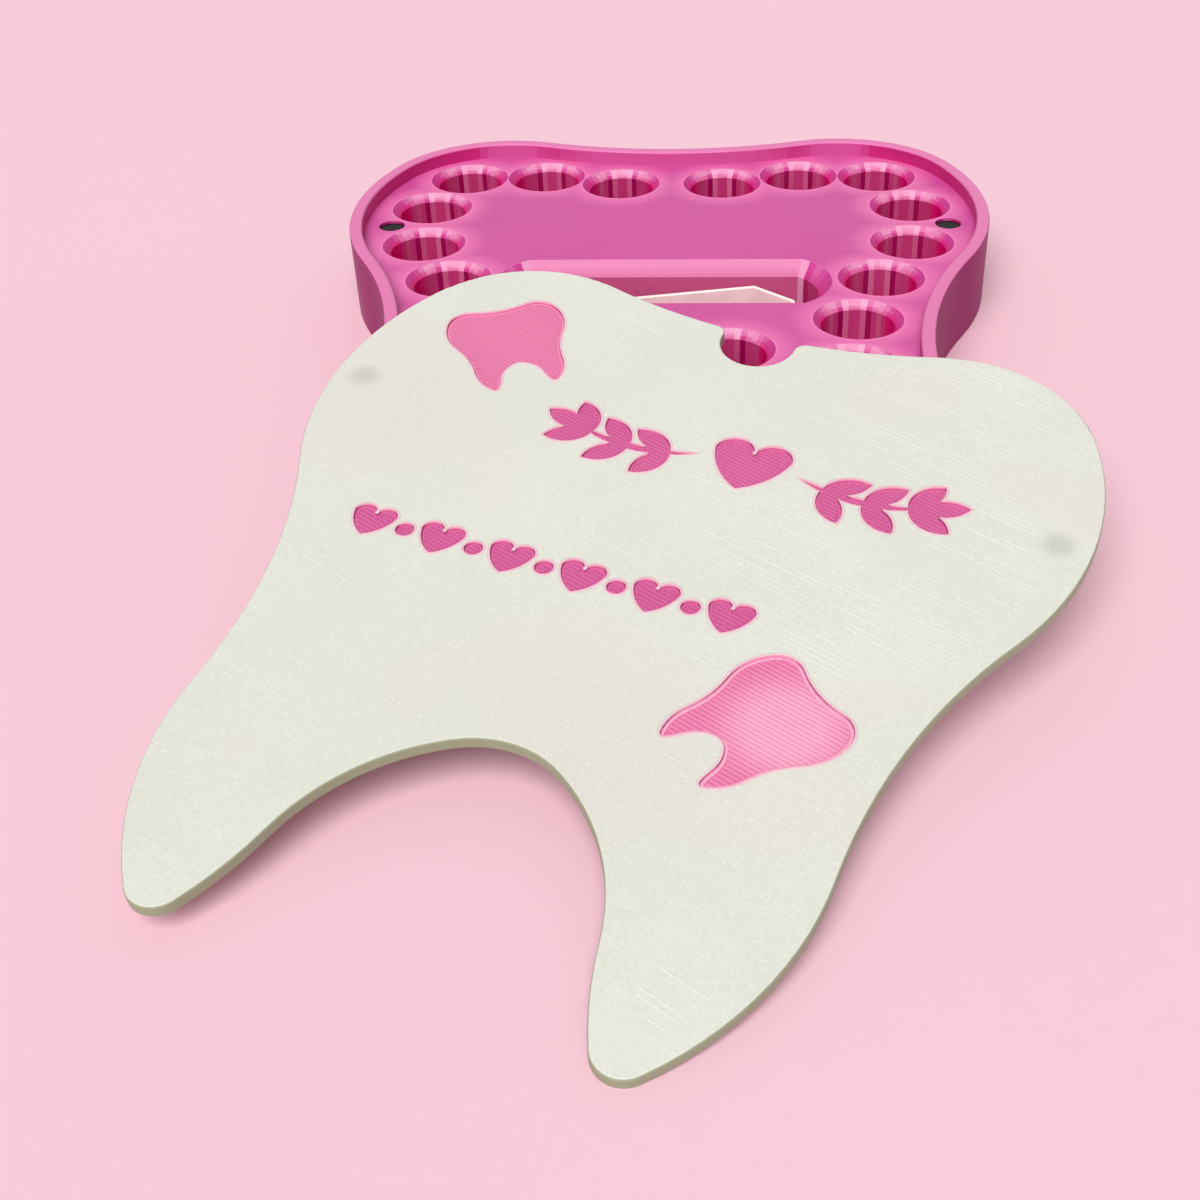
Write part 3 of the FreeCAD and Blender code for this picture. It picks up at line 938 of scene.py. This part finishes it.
@dataclass(frozen=True)
class Hatch:
    """Parallel lines that fill a set of closed loops."""

    spacing: float
    margin: float
    turn: float = LINE_TURN
    phase: float = 0.37
    shortest: float = 0.5 * MM

    def fill(self, loops: Sequence[np.ndarray]) -> List[Segment]:
        """Lays the lines.

        Args:
            loops: Closed outlines and holes, in the lid's frame.

        Returns:
            The lines' ends, in the lid's frame.
        """
        along = np.array([math.cos(self.turn), math.sin(self.turn)])
        across = np.array([-along[1], along[0]])
        starts = np.vstack(loops)
        ends = np.vstack([np.roll(loop, -1, axis=0) for loop in loops])
        low_a, high_a = starts @ along, ends @ along
        low_b, high_b = starts @ across, ends @ across
        first = math.ceil(min(low_b.min(), high_b.min()) / self.spacing)
        last = math.floor(max(low_b.max(), high_b.max()) / self.spacing)
        lines = []
        for number in range(first, last + 1):
            level = (number + self.phase) * self.spacing
            crossing = (low_b <= level) != (high_b <= level)
            share = (level - low_b[crossing]) / (high_b[crossing] - low_b[crossing])
            stops = np.sort(low_a[crossing] + share * (high_a[crossing] - low_a[crossing]))
            for near, far in zip(stops[::2], stops[1::2]):
                if far - near > 2 * self.margin + self.shortest:
                    near_end = along * (near + self.margin) + across * level
                    far_end = along * (far - self.margin) + across * level
                    lines.append((tuple(near_end), tuple(far_end)))
        return lines


def inset(loop: np.ndarray, distance: float) -> np.ndarray:
    """Moves a loop to its left, which is into the material, with blunted corners.

    Args:
        loop: The closed loop's points.
        distance: How far it moves.

    Returns:
        The moved points.
    """
    back = loop - np.roll(loop, 1, axis=0)
    ahead = np.roll(loop, -1, axis=0) - loop
    normals = []
    for step in (back, ahead):
        length = np.maximum(np.linalg.norm(step, axis=1, keepdims=True), SHORTEST)
        normals.append(np.stack([-step[:, 1], step[:, 0]], axis=1) / length)
    middle = normals[0] + normals[1]
    middle /= np.maximum(np.linalg.norm(middle, axis=1, keepdims=True), SHORTEST)
    cosine = np.clip(np.sum(middle * normals[0], axis=1, keepdims=True), BLUNTEST, 1.0)
    return loop + middle * distance / cosine


@dataclass(frozen=True)
class Ridge:
    """How a set of laid ridges looks: its section, its finish and the record's slot for it."""

    width: float
    height: float
    finish: Finish
    slot: Slot = Slot.INLAY
    sides: int = 8
    unevenness: float = 0.0
    seed: int = 21


def ridge_group() -> Group:
    """Makes the geometry tree that lays a low rounded ridge along every edge of a flat mesh.

    Returns:
        The tree's group.
    """
    inputs = [("Geometry", "Geometry"), ("Width", "Float"), ("Height", "Float"), ("Sides", "Int"),
              ("Unevenness", "Float"), ("Seed", "Int"), ("Plastic", "Material")]
    group = open_group("Laid ridges", "GeometryNodeTree", inputs, [("Geometry", "Geometry")])
    graph, given = group.graph, group.given.outputs
    curves = graph.add("GeometryNodeMeshToCurve", {"Mesh": given["Geometry"]})
    number = graph.add("GeometryNodeInputIndex")
    luck = group.draw(0.0, 1.0, ID=number.outputs[0])
    swell = graph.rest(graph.times(luck, given["Unevenness"]))
    ring = graph.add("GeometryNodeCurvePrimitiveCircle", {"Resolution": given["Sides"], "Radius": 0.5})
    scale = graph.add("ShaderNodeCombineXYZ", {0: given["Width"], 1: given["Height"], 2: 1.0})
    profile = graph.add("GeometryNodeTransform", {"Geometry": ring.outputs[0], "Scale": scale.outputs[0]})
    radius = graph.add("GeometryNodeSetCurveRadius", {"Curve": curves.outputs[0], "Radius": swell})
    sweep = graph.add("GeometryNodeCurveToMesh", {
        "Curve": radius.outputs[0], "Profile Curve": profile.outputs[0], "Fill Caps": True})
    group.end(sweep.outputs[0])
    return group


@dataclass
class RidgeLayer:
    """Lays ridges of plastic on the lid."""

    group: Group = field(default_factory=ridge_group)

    def lay(self, name: str, lines: Iterable[Sequence[Tuple[float, float]]], level: float, ridge: Ridge,
            closed: bool = True) -> None:
        """Lays ridges where the lid leans and attaches them to the lid.

        Args:
            name: The piece's name.
            lines: Polylines in the lid's frame.
            level: Height of the face that they lie on.
            ridge: How they look.
            closed: Whether each polyline ends where it starts.
        """
        points: List[Place] = []
        edges: List[Tuple[int, int]] = []
        for line in lines:
            base = len(points)
            points += [(x, y, level) for x, y in line]
            edges += [(base + step, base + step + 1) for step in range(len(line) - 1)]
            if closed:
                edges.append((base + len(line) - 1, base))
        values = {"Width": ridge.width, "Height": ridge.height, "Sides": ridge.sides, "Seed": ridge.seed,
                  "Unevenness": ridge.unevenness, "Plastic": paint(ridge.finish)}
        made = self.group.grow(drawn_piece(name + "_guide", points, edges), values)
        made.transform(LEAN.matrix())
        settle(new_piece(name, made), Body.LID)


def lining(name: str, levels: Sequence[Sequence[Vector]], tone: Callable[[int, int], Tone]) -> Object:
    """Makes a closed thin lining of a hollow, faceted, with a tone of painted light and shade on each
    facet.

    Args:
        name: The lining's name.
        levels: Rings of points, from the floor up the inside and down again behind it.
        tone: Gives a facet's tone of painted light and shade from its band and its place in the ring.

    Returns:
        The lining, with the painted tones in a face attribute.
    """
    shape = bmesh.new()
    streak = shape.faces.layers.float_vector.new(PAINTED_LIGHT)
    rings = [[shape.verts.new(place) for place in level] for level in levels]
    for band, (lower, upper) in enumerate(zip(rings, rings[1:])):
        for side in range(len(lower)):
            after = (side + 1) % len(lower)
            face = shape.faces.new((lower[after], lower[side], upper[side], upper[after]))
            face[streak] = Vector(tone(band, side))
    # The floor and the hidden cap take the floor's painted shade.
    for ring in (rings[0], rings[-1]):
        shape.faces.new(ring)[streak] = Vector(FLOOR_SHADE_TONE)
    bmesh.ops.recalc_face_normals(shape, faces=shape.faces)
    return shaped_piece(name, shape)


@dataclass(frozen=True)
class LiningSection:
    """The section of a lining: how far each of its rings lies outside the bore, and how high.

    It stands a little proud of the printed wall and bevel, and its back is hidden inside them.
    """

    bevel: float
    floor: float = 1.2 * MM
    deck: float = 10.7 * MM
    proud: float = 0.05 * MM
    lap: float = 0.04 * MM
    rise: float = 0.02 * MM
    depth: float = 0.12 * MM
    bevel_steps: int = 5
    # Painted light: the highlight of the ring at the top of the bevel, and where the lip's painted light
    # starts and how fast it grows upwards.
    top_ring_highlight: float = 0.7
    lip_start: float = 0.35
    lip_gain: float = 1.1

    def rings(self) -> List[Range]:
        """Works out the section's corners.

        Returns:
            Offset from the bore and height of each ring, in order.
        """
        neck = self.deck - self.bevel
        slant = self.proud * math.sqrt(2)
        low = (-self.proud, neck + slant - self.proud)
        high = (self.bevel - slant + self.rise, self.deck + self.rise)
        inside = [(-self.proud, self.floor + self.proud)]
        for step in range(self.bevel_steps + 1):
            share = step / self.bevel_steps
            inside.append((low[0] + (high[0] - low[0]) * share, low[1] + (high[1] - low[1]) * share))
        edge = self.bevel + self.lap
        behind = [(edge, self.deck + self.rise), (edge, self.deck - self.depth),
                  (self.depth, neck - self.depth), (self.depth, self.floor - self.depth)]
        return inside + behind

    def tone(self, band: int, wall: float, lip: float, crimson_shade: float) -> Tone:
        """Painted light and shade of a facet: the wall's, the lip's as its painted light grows upwards, or
        the painted highlight of the ring at the top.

        Args:
            band: The facet's band, counted from the floor.
            wall: How light the wall is painted there, from painted shade to painted highlight.
            lip: How much light is painted on the top of the bevel there.
            crimson_shade: How much crimson shade is painted on the wall there.

        Returns:
            How light, how much of the lip's painted light and how much of the wall's crimson shade.
        """
        if band == 0:
            return (wall, 0.0, crimson_shade)
        if band > self.bevel_steps:
            return (self.top_ring_highlight, 1.0, 0.0)
        rise = (band - 0.5) / self.bevel_steps
        share = min(1.0, self.lip_start + self.lip_gain * rise)
        return (wall + (lip - wall) * share, share, crimson_shade * (1 - share))


@dataclass
class PocketLinings:
    """The faceted walls, bevels and floors of the tooth pockets, set out by geometry nodes from one cup."""

    radius: float = 5.35 * MM
    section: LiningSection = LiningSection(bevel=1.15 * MM)
    sides: int = 40
    turn_spread: float = math.radians(4)
    tone_spread: float = 0.05
    seed: int = 7
    # Painted light and shade of the facets, from the far and near sides round to the left and right: the
    # walls' tones, the crimson shade towards the ends and the lips' painted light.
    wall_shading: Tuple[float, ...] = (0.46, 0.64, 0.06, 0.5, 0.58, 0.56, 0.5)
    wall_crimson_shade: Tuple[float, ...] = (0.0, 0.0, 0.0, 0.0, 0.0, 0.25, 0.7, 1.0)
    lip_shading: Tuple[float, ...] = (0.86, 1.0, 0.74, 0.84, 0.82, 0.74, 0.64, 0.54, 0.48, 0.45)

    def tone(self, band: int, side: int) -> Tone:
        """Painted light and shade of a facet, the same in all four quarters.

        Args:
            band: The facet's band, counted from the floor.
            side: Its place in the ring.

        Returns:
            The tone.
        """
        turned = side % (self.sides // 2)
        turned = min(turned, self.sides // 2 - 1 - turned)
        rows = (self.wall_shading, self.lip_shading, self.wall_crimson_shade)
        return self.section.tone(band, *[row[min(turned, len(row) - 1)] for row in rows])

    def cup(self) -> Object:
        """Makes one cup about the origin.

        Returns:
            The cup.
        """
        turns = [math.pi / 2 + side * 2 * math.pi / self.sides for side in range(self.sides)]
        levels = []
        for offset, height in self.section.rings():
            reach = self.radius + offset
            ring = [(reach * math.cos(turn), reach * math.sin(turn), height) for turn in turns]
            levels.append([Vector(place) for place in ring])
        return lining("pocket_cup", levels, self.tone)

    def chance(self, group: Group, name: str) -> NodeSocket:
        """A seeded draw to either side of 0, as wide as the named input says."""
        spread = group.given.outputs[name]
        return group.draw(group.graph.times(spread, -1.0), spread)

    def tree(self) -> Group:
        """Makes the geometry tree that sets a cup on each point.

        Returns:
            The tree's group.
        """
        inputs = [("Geometry", "Geometry"), ("Cup", "Object"), ("Turn spread", "Float"),
                  ("Tone spread", "Float"), ("Seed", "Int"), ("Plastic", "Material")]
        group = open_group("Pocket cups", "GeometryNodeTree", inputs, [("Geometry", "Geometry")])
        graph, given = group.graph, group.given.outputs
        shape = graph.add("GeometryNodeObjectInfo", {"Object": given["Cup"]})
        points = graph.add("GeometryNodeMeshToPoints", {"Mesh": given["Geometry"]})
        turn = graph.add("ShaderNodeCombineXYZ", {2: self.chance(group, "Turn spread")})
        cups = graph.add("GeometryNodeInstanceOnPoints", {
            "Points": points.outputs[0], "Rotation": turn.outputs[0],
            "Instance": shape.outputs["Geometry"]})
        real = graph.add("GeometryNodeRealizeInstances", {"Geometry": cups.outputs[0]})
        tone = graph.add("GeometryNodeInputNamedAttribute", {"Name": PAINTED_LIGHT}, data_type="FLOAT_VECTOR")
        change = graph.add("ShaderNodeCombineXYZ", {0: self.chance(group, "Tone spread")})
        moved = graph.vector("ADD", tone.outputs[0], change.outputs[0])
        stored = graph.add("GeometryNodeStoreNamedAttribute", {
            "Geometry": real.outputs[0], "Name": PAINTED_LIGHT, "Value": moved},
            data_type="FLOAT_VECTOR", domain="FACE")
        group.end(stored.outputs[0])
        return group

    def build(self) -> None:
        """Sets a cup into every pocket and attaches the piece to the tray."""
        guide = drawn_piece("pocket_places", pocket_places())
        cup = self.cup()
        made = self.tree().grow(guide, {
            "Cup": cup, "Turn spread": self.turn_spread, "Tone spread": self.tone_spread, "Seed": self.seed,
            "Plastic": paint(SHADED_LINING_PINK)})
        bpy.data.objects.remove(cup)
        settle(new_piece("pocket_linings", made), Body.TRAY)


@dataclass
class SlotLining:
    """The faceted wall, bevel and floor of the keepsake slot."""

    middle: float = 3.3 * MM
    width: float = 11.4 * MM
    half: float = 20.25 * MM
    bow: float = 2.9 * MM
    section: LiningSection = LiningSection(bevel=2.0 * MM)
    bow_sides: int = 12
    # Painted light and shade of the ends' facets, by their place along an end: the walls' tones, their
    # crimson shade and the lips' painted light.
    wall_shading: Tuple[float, ...] = (0.85, 0.22, 0.52, 0.56, 0.52, 0.5, 0.5, 0.5, 0.5, 0.4, 0.4, 0.4)
    wall_crimson_shade: Tuple[float, ...] = (0.0, 0.0, 0.0, 0.0, 0.1, 0.4, 0.7, 0.9, 0.9, 0.6, 0.3, 0.0)
    lip_shading: Tuple[float, ...] = (0.9, 0.56, 0.66, 0.6, 0.5, 0.46, 0.44, 0.44, 0.45, 0.46, 0.5, 0.6)
    # Painted light and shade of the straight far and near sides.
    far_wall: float = 0.63
    far_lip: float = 0.76
    near_wall: float = 0.4
    near_lip: float = 0.62

    def outline(self, offset: float, height: float) -> List[Vector]:
        """Sets out one ring: the left end from far to near, then the right end back.

        Args:
            offset: How far the ring lies outside the slot's bore.
            height: Its height.

        Returns:
            The ring's points.
        """
        side = self.width / 2
        radius = (side ** 2 + self.bow ** 2) / (2 * self.bow)
        centre = self.half + self.bow - radius
        spread = math.asin((side + offset) / (radius + offset))
        right = []
        for step in range(self.bow_sides + 1):
            turn = spread * (1 - 2 * step / self.bow_sides)
            right.append(Vector((centre + (radius + offset) * math.cos(turn),
                                 self.middle + (radius + offset) * math.sin(turn), height)))
        left = [Vector((-place.x, place.y, height)) for place in reversed(right)]
        return list(reversed(right + left))

    def tone(self, band: int, side: int) -> Tone:
        """Painted light and shade of a facet: the far side's, the near side's or that of its place along an
        end.

        Args:
            band: The facet's band, counted from the floor.
            side: Its place in the ring.

        Returns:
            The tone.
        """
        last = 2 * self.bow_sides + 1
        if side == last:
            return self.section.tone(band, self.far_wall, self.far_lip, 0.0)
        if side == self.bow_sides:
            return self.section.tone(band, self.near_wall, self.near_lip, 0.0)
        place = side if side < self.bow_sides else last - 1 - side
        return self.section.tone(band, self.wall_shading[place], self.lip_shading[place], self.wall_crimson_shade[place])

    def build(self) -> None:
        """Lines the slot and attaches the piece to the tray."""
        levels = [self.outline(offset, height) for offset, height in self.section.rings()]
        piece = lining("slot_lining", levels, self.tone)
        dress(piece, SHADED_LINING_PINK)
        settle(piece, Body.TRAY)


@dataclass
class Magnet:
    """A plated disc magnet with rounded edges that stands for a CAD node."""

    node: str
    body: Body
    edge: float = 0.22 * MM
    steps: int = 4
    sharp: float = math.radians(60)

    def build(self) -> None:
        """Rounds the disc in the node's own place and attaches it to its body."""
        disc = merged_copy(self.node)
        for face in disc.faces:
            face.smooth = False
        corners = [edge for edge in disc.edges
                   if len(edge.link_faces) == 2 and edge.calc_face_angle() > self.sharp]
        bmesh.ops.bevel(disc, geom=corners, offset=self.edge, segments=self.steps, profile=ROUND,
                        affect="EDGES")
        piece = shaped_piece(self.node + "_plated", disc)
        dress(piece, PLATED)
        settle(piece, self.body, (self.node,))


@dataclass
class Tray:
    """The pink tray: its printed body, the linings of its hollows and its two magnets."""

    pockets: PocketLinings = field(default_factory=PocketLinings)
    slot: SlotLining = field(default_factory=SlotLining)
    magnets: Tuple[str, ...] = ("tray_magnet_left", "tray_magnet_right")

    def build(self) -> None:
        """Makes the pieces and dresses the body."""
        dress(frame["nodes"]["tray_body"], TRAY_PINK)
        self.pockets.build()
        self.slot.build()
        for node in self.magnets:
            Magnet(node, Body.TRAY).build()


@dataclass(frozen=True)
class InlayStyle:
    """How one inlay looks: its own finish, those of its ridges and its outline, and how high they stand."""

    node: str
    # By default an inlay takes the finishes painted darker, as painted shade.
    floor: InlayFinish = INLAY_SHADED
    ridge: InlayFinish = RIDGE_SHADED
    rim: InlayFinish = RIDGE_SHADED
    height: float = 0.07 * MM


@dataclass
class PrintRidges:
    """The print lines that stand proud of the lid's face, in broken stretches.

    Stretches and gaps are drawn from ranges in millimetres. They show most on the right of the crown.
    """

    ridge: Ridge = Ridge(0.17 * MM, 0.05 * MM, RIDGE_HIGHLIGHT_WHITE, Slot.WHITE, sides=6, unevenness=0.6)
    border: float = 2.6 * MM
    first_gap: Range = (0.0, 4.0)
    run: Range = (2.0, 16.0)
    gap: Range = (0.5, 9.0)
    shortest: float = 1.0 * MM
    least_mood: float = 0.35
    right_from: float = 12 * MM
    crown_from: float = -12 * MM
    left_share: float = 0.05
    crown_share: float = 0.72
    root_share: float = 0.15

    def share(self, place: Tuple[float, float]) -> float:
        """How often a print line stands proud at a place."""
        right = self.crown_share if place[1] > self.crown_from else self.root_share
        return right if place[0] >= self.right_from else self.left_share

    def strokes(self, lines: Sequence[Segment]) -> List[Segment]:
        """Breaks the print lines into the stretches that stand proud.

        Args:
            lines: Full print lines across the face.

        Returns:
            The stretches that show.
        """
        luck = random.Random(self.ridge.seed)
        kept = []
        for (x0, y0), (x1, y1) in lines:
            length = math.hypot(x1 - x0, y1 - y0)
            mood = luck.random()
            place = luck.uniform(*self.first_gap) * MM
            while place < length:
                stop = min(place + luck.uniform(*self.run) * MM, length)
                start_end, middle, stop_end = [
                    (x0 + (x1 - x0) * share, y0 + (y1 - y0) * share)
                    for share in (place / length, (place + stop) / 2 / length, stop / length)]
                shown = luck.random() < self.share(middle) * (self.least_mood + mood)
                if shown and stop - place > self.shortest:
                    kept.append((start_end, stop_end))
                place = stop + luck.uniform(*self.gap) * MM
        return kept

    def build(self, layer: RidgeLayer, level: float) -> None:
        """Lays the ridges on the lid's face."""
        lines = Hatch(LID_LINE, self.border).fill(level_loops("lid_plate", level))
        layer.lay("lid_print_ridges", self.strokes(lines), level, self.ridge, closed=False)


@dataclass
class Lid:
    """The white lid: its plate, the ridges of its print, its pink inlays and their laid lines.

    Margins and insets are shares of the width of the line that they belong to.
    """

    thickness: float = 1.4 * MM
    inlay_top: float = 1.1 * MM
    line_width: float = 0.42 * MM
    hatch_margin: float = 1.3
    hatch_unevenness: float = 0.3
    rim_inset: float = 0.55
    wall_width: float = 0.06 * MM
    wall_inset: float = 0.6
    wall_share: float = 0.95
    bead_width: float = 0.3 * MM
    bead_height: float = 0.05 * MM
    bead_inset: float = -0.5
    # The lower tooth takes the finishes with a painted highlight, the ornaments those with painted shade.
    inlays: Tuple[InlayStyle, ...] = (
        InlayStyle("tooth_inlay_upper", INLAY_MIDDLE, RIDGE_MIDDLE, RIM_HIGHLIGHT, 0.04 * MM),
        InlayStyle("tooth_inlay_lower", INLAY_HIGHLIT, RIDGE_HIGHLIT, RIM_STRONG_HIGHLIGHT, 0.1 * MM),
        InlayStyle("heart_inlay"), InlayStyle("leaf_sprig_left"), InlayStyle("leaf_sprig_right"),
        InlayStyle("heart_row_inlays"), InlayStyle("dot_row_inlays"))
    magnets: Tuple[str, ...] = ("lid_magnet_left", "lid_magnet_right")
    print_ridges: PrintRidges = field(default_factory=PrintRidges)

    def build(self) -> None:
        """Makes the pieces and dresses the plate and the inlays."""
        layer = RidgeLayer()
        dress(frame["nodes"]["lid_plate"], LID_WHITE)
        self.print_ridges.build(layer, self.thickness)
        for style in self.inlays:
            dress(frame["nodes"][style.node], style.floor)
            self.inlay_lines(style, layer)
        for node in self.magnets:
            Magnet(node, Body.LID).build()

    def inlay_lines(self, style: InlayStyle, layer: RidgeLayer) -> None:
        """Lays an inlay's hatch and outline, its recess's wall and the bead round it.

        Args:
            style: How the inlay looks.
            layer: What lays the ridges.
        """
        loops = level_loops(style.node, self.inlay_top)
        hatch = Hatch(INLAY_LINE, self.hatch_margin * self.line_width).fill(loops)
        rims, walls, beads = [
            [inset(loop, share * width) for loop in loops]
            for share, width in ((self.rim_inset, self.line_width), (self.wall_inset, self.wall_width),
                                 (self.bead_inset, self.bead_width))]
        wall_height = self.wall_share * (self.thickness - self.inlay_top)
        wall_middle = (self.thickness + self.inlay_top) / 2
        lines = Ridge(self.line_width, style.height, style.ridge, unevenness=self.hatch_unevenness)
        outline = Ridge(self.line_width, style.height, style.rim)
        wall = Ridge(self.wall_width, wall_height, RECESS_SHADED_PINK)
        bead = Ridge(self.bead_width, self.bead_height, SEAM_PINK, Slot.WHITE)
        layer.lay(style.node + "_hatch", hatch, self.inlay_top, lines, closed=False)
        layer.lay(style.node + "_outline", rims, self.inlay_top, outline)
        layer.lay(style.node + "_recess", walls, wall_middle, wall)
        layer.lay(style.node + "_seam", beads, self.thickness, bead)


@dataclass
class Card:
    """The loose pale card in the slot, with softened edges."""

    node: str = "keepsake_card"
    edge: float = 0.18 * MM
    steps: int = 3
    border: float = 0.35 * MM
    flatness: float = math.radians(1)

    def build(self) -> None:
        """Softens the card's edges, gives its faces a pale border and attaches it to the card's body."""
        card = merged_copy(self.node)
        bmesh.ops.dissolve_limit(card, angle_limit=self.flatness, verts=card.verts, edges=card.edges)
        bmesh.ops.bevel(card, geom=list(card.edges), offset=self.edge, segments=self.steps, profile=ROUND,
                        affect="EDGES")
        largest = sorted(card.faces, key=lambda face: face.calc_area())[-2:]
        bmesh.ops.inset_individual(card, faces=largest, thickness=self.border)
        for face in card.faces:
            # The border and the softened edges take the painted highlight, and the faces inside them the
            # painted shade.
            face.material_index = 0 if face in largest else 1
        piece = shaped_piece(self.node + "_soft", card)
        dress(piece, CARD_FACE_SHADED, CARD_EDGE_HIGHLIGHT)
        settle(piece, Body.CARD, (self.node,))


@dataclass(frozen=True)
class Lamp:
    """A wide soft light that is far away."""

    name: str
    source: Place
    spread: float
    power: float

    def hang(self) -> None:
        """Puts the light into the scene."""
        light = bpy.data.lights.new(self.name, "SUN")
        light.energy = self.power
        light.angle = self.spread
        lamp = bpy.data.objects.new(self.name, light)
        lamp.rotation_mode = "QUATERNION"
        lamp.rotation_quaternion = Vector(self.source).to_track_quat("Z", "Y")
        bpy.context.scene.collection.objects.link(lamp)


@dataclass
class Studio:
    """The pale floor, the soft light and the camera at the photograph's angle."""

    camera_place: Place = (9.833 * MM, -222.47 * MM, 113.277 * MM)
    right: Place = (0.999091, 0.037465, -0.020324)
    down: Place = (0.006722, -0.609382, -0.792848)
    ahead: Place = (-0.042089, 0.791991, -0.60908)
    focal_pixels: float = 1620.6
    middle_pixels: Tuple[float, float] = (658.6, 658.5)
    sensor: float = 36.0
    lamps: Tuple[Lamp, ...] = (
        Lamp("front_softbox", (-0.12, -0.62, 0.77), math.radians(44), 3.1),
        Lamp("back_softbox", (0.1, 0.8, 0.6), math.radians(70), 0.35))
    sky: Colour = (0.3, 0.3, 0.3, 1.0)
    floor_reach: float = 30.0

    def build(self) -> None:
        """Sets up the floor, the light and the camera."""
        self.floor()
        self.light()
        self.camera()
        bpy.context.scene.view_settings.view_transform = "Standard"

    def floor(self) -> None:
        """Lays the floor under the object."""
        half = self.floor_reach / 2
        corners = [(-half, -half, 0), (half, -half, 0), (half, half, 0), (-half, half, 0)]
        floor = drawn_piece("floor", corners, faces=[range(len(corners))])
        dress(floor, FLOOR_FINISH)

    def light(self) -> None:
        """Hangs the soft lights in a dim even room."""
        world = bpy.data.worlds.new("room")
        world.use_nodes = True
        world.node_tree.nodes["Background"].inputs["Color"].default_value = self.sky
        bpy.context.scene.world = world
        for lamp in self.lamps:
            lamp.hang()

    def camera(self) -> None:
        """Sets the camera where the photograph was taken from."""
        lens = bpy.data.cameras.new("camera")
        lens.sensor_width = self.sensor
        lens.lens = self.sensor * self.focal_pixels / PHOTO_PIXELS
        lens.shift_x = 0.5 - self.middle_pixels[0] / PHOTO_PIXELS
        lens.shift_y = self.middle_pixels[1] / PHOTO_PIXELS - 0.5
        lens.clip_start = MM
        camera = bpy.data.objects.new("camera", lens)
        rows = (self.right, [-value for value in self.down], [-value for value in self.ahead])
        camera.matrix_world = Matrix.Translation(self.camera_place) @ Matrix(rows).transposed().to_4x4()
        bpy.context.scene.collection.objects.link(camera)
        bpy.context.scene.camera = camera


def main() -> None:
    """Builds the box piece by piece."""
    logging.basicConfig(level=logging.INFO, format="%(name)s: %(message)s")
    Effects().build()
    Studio().build()
    Tray().build()
    Lid().build()
    Card().build()


if __name__ == "__main__":
    main()
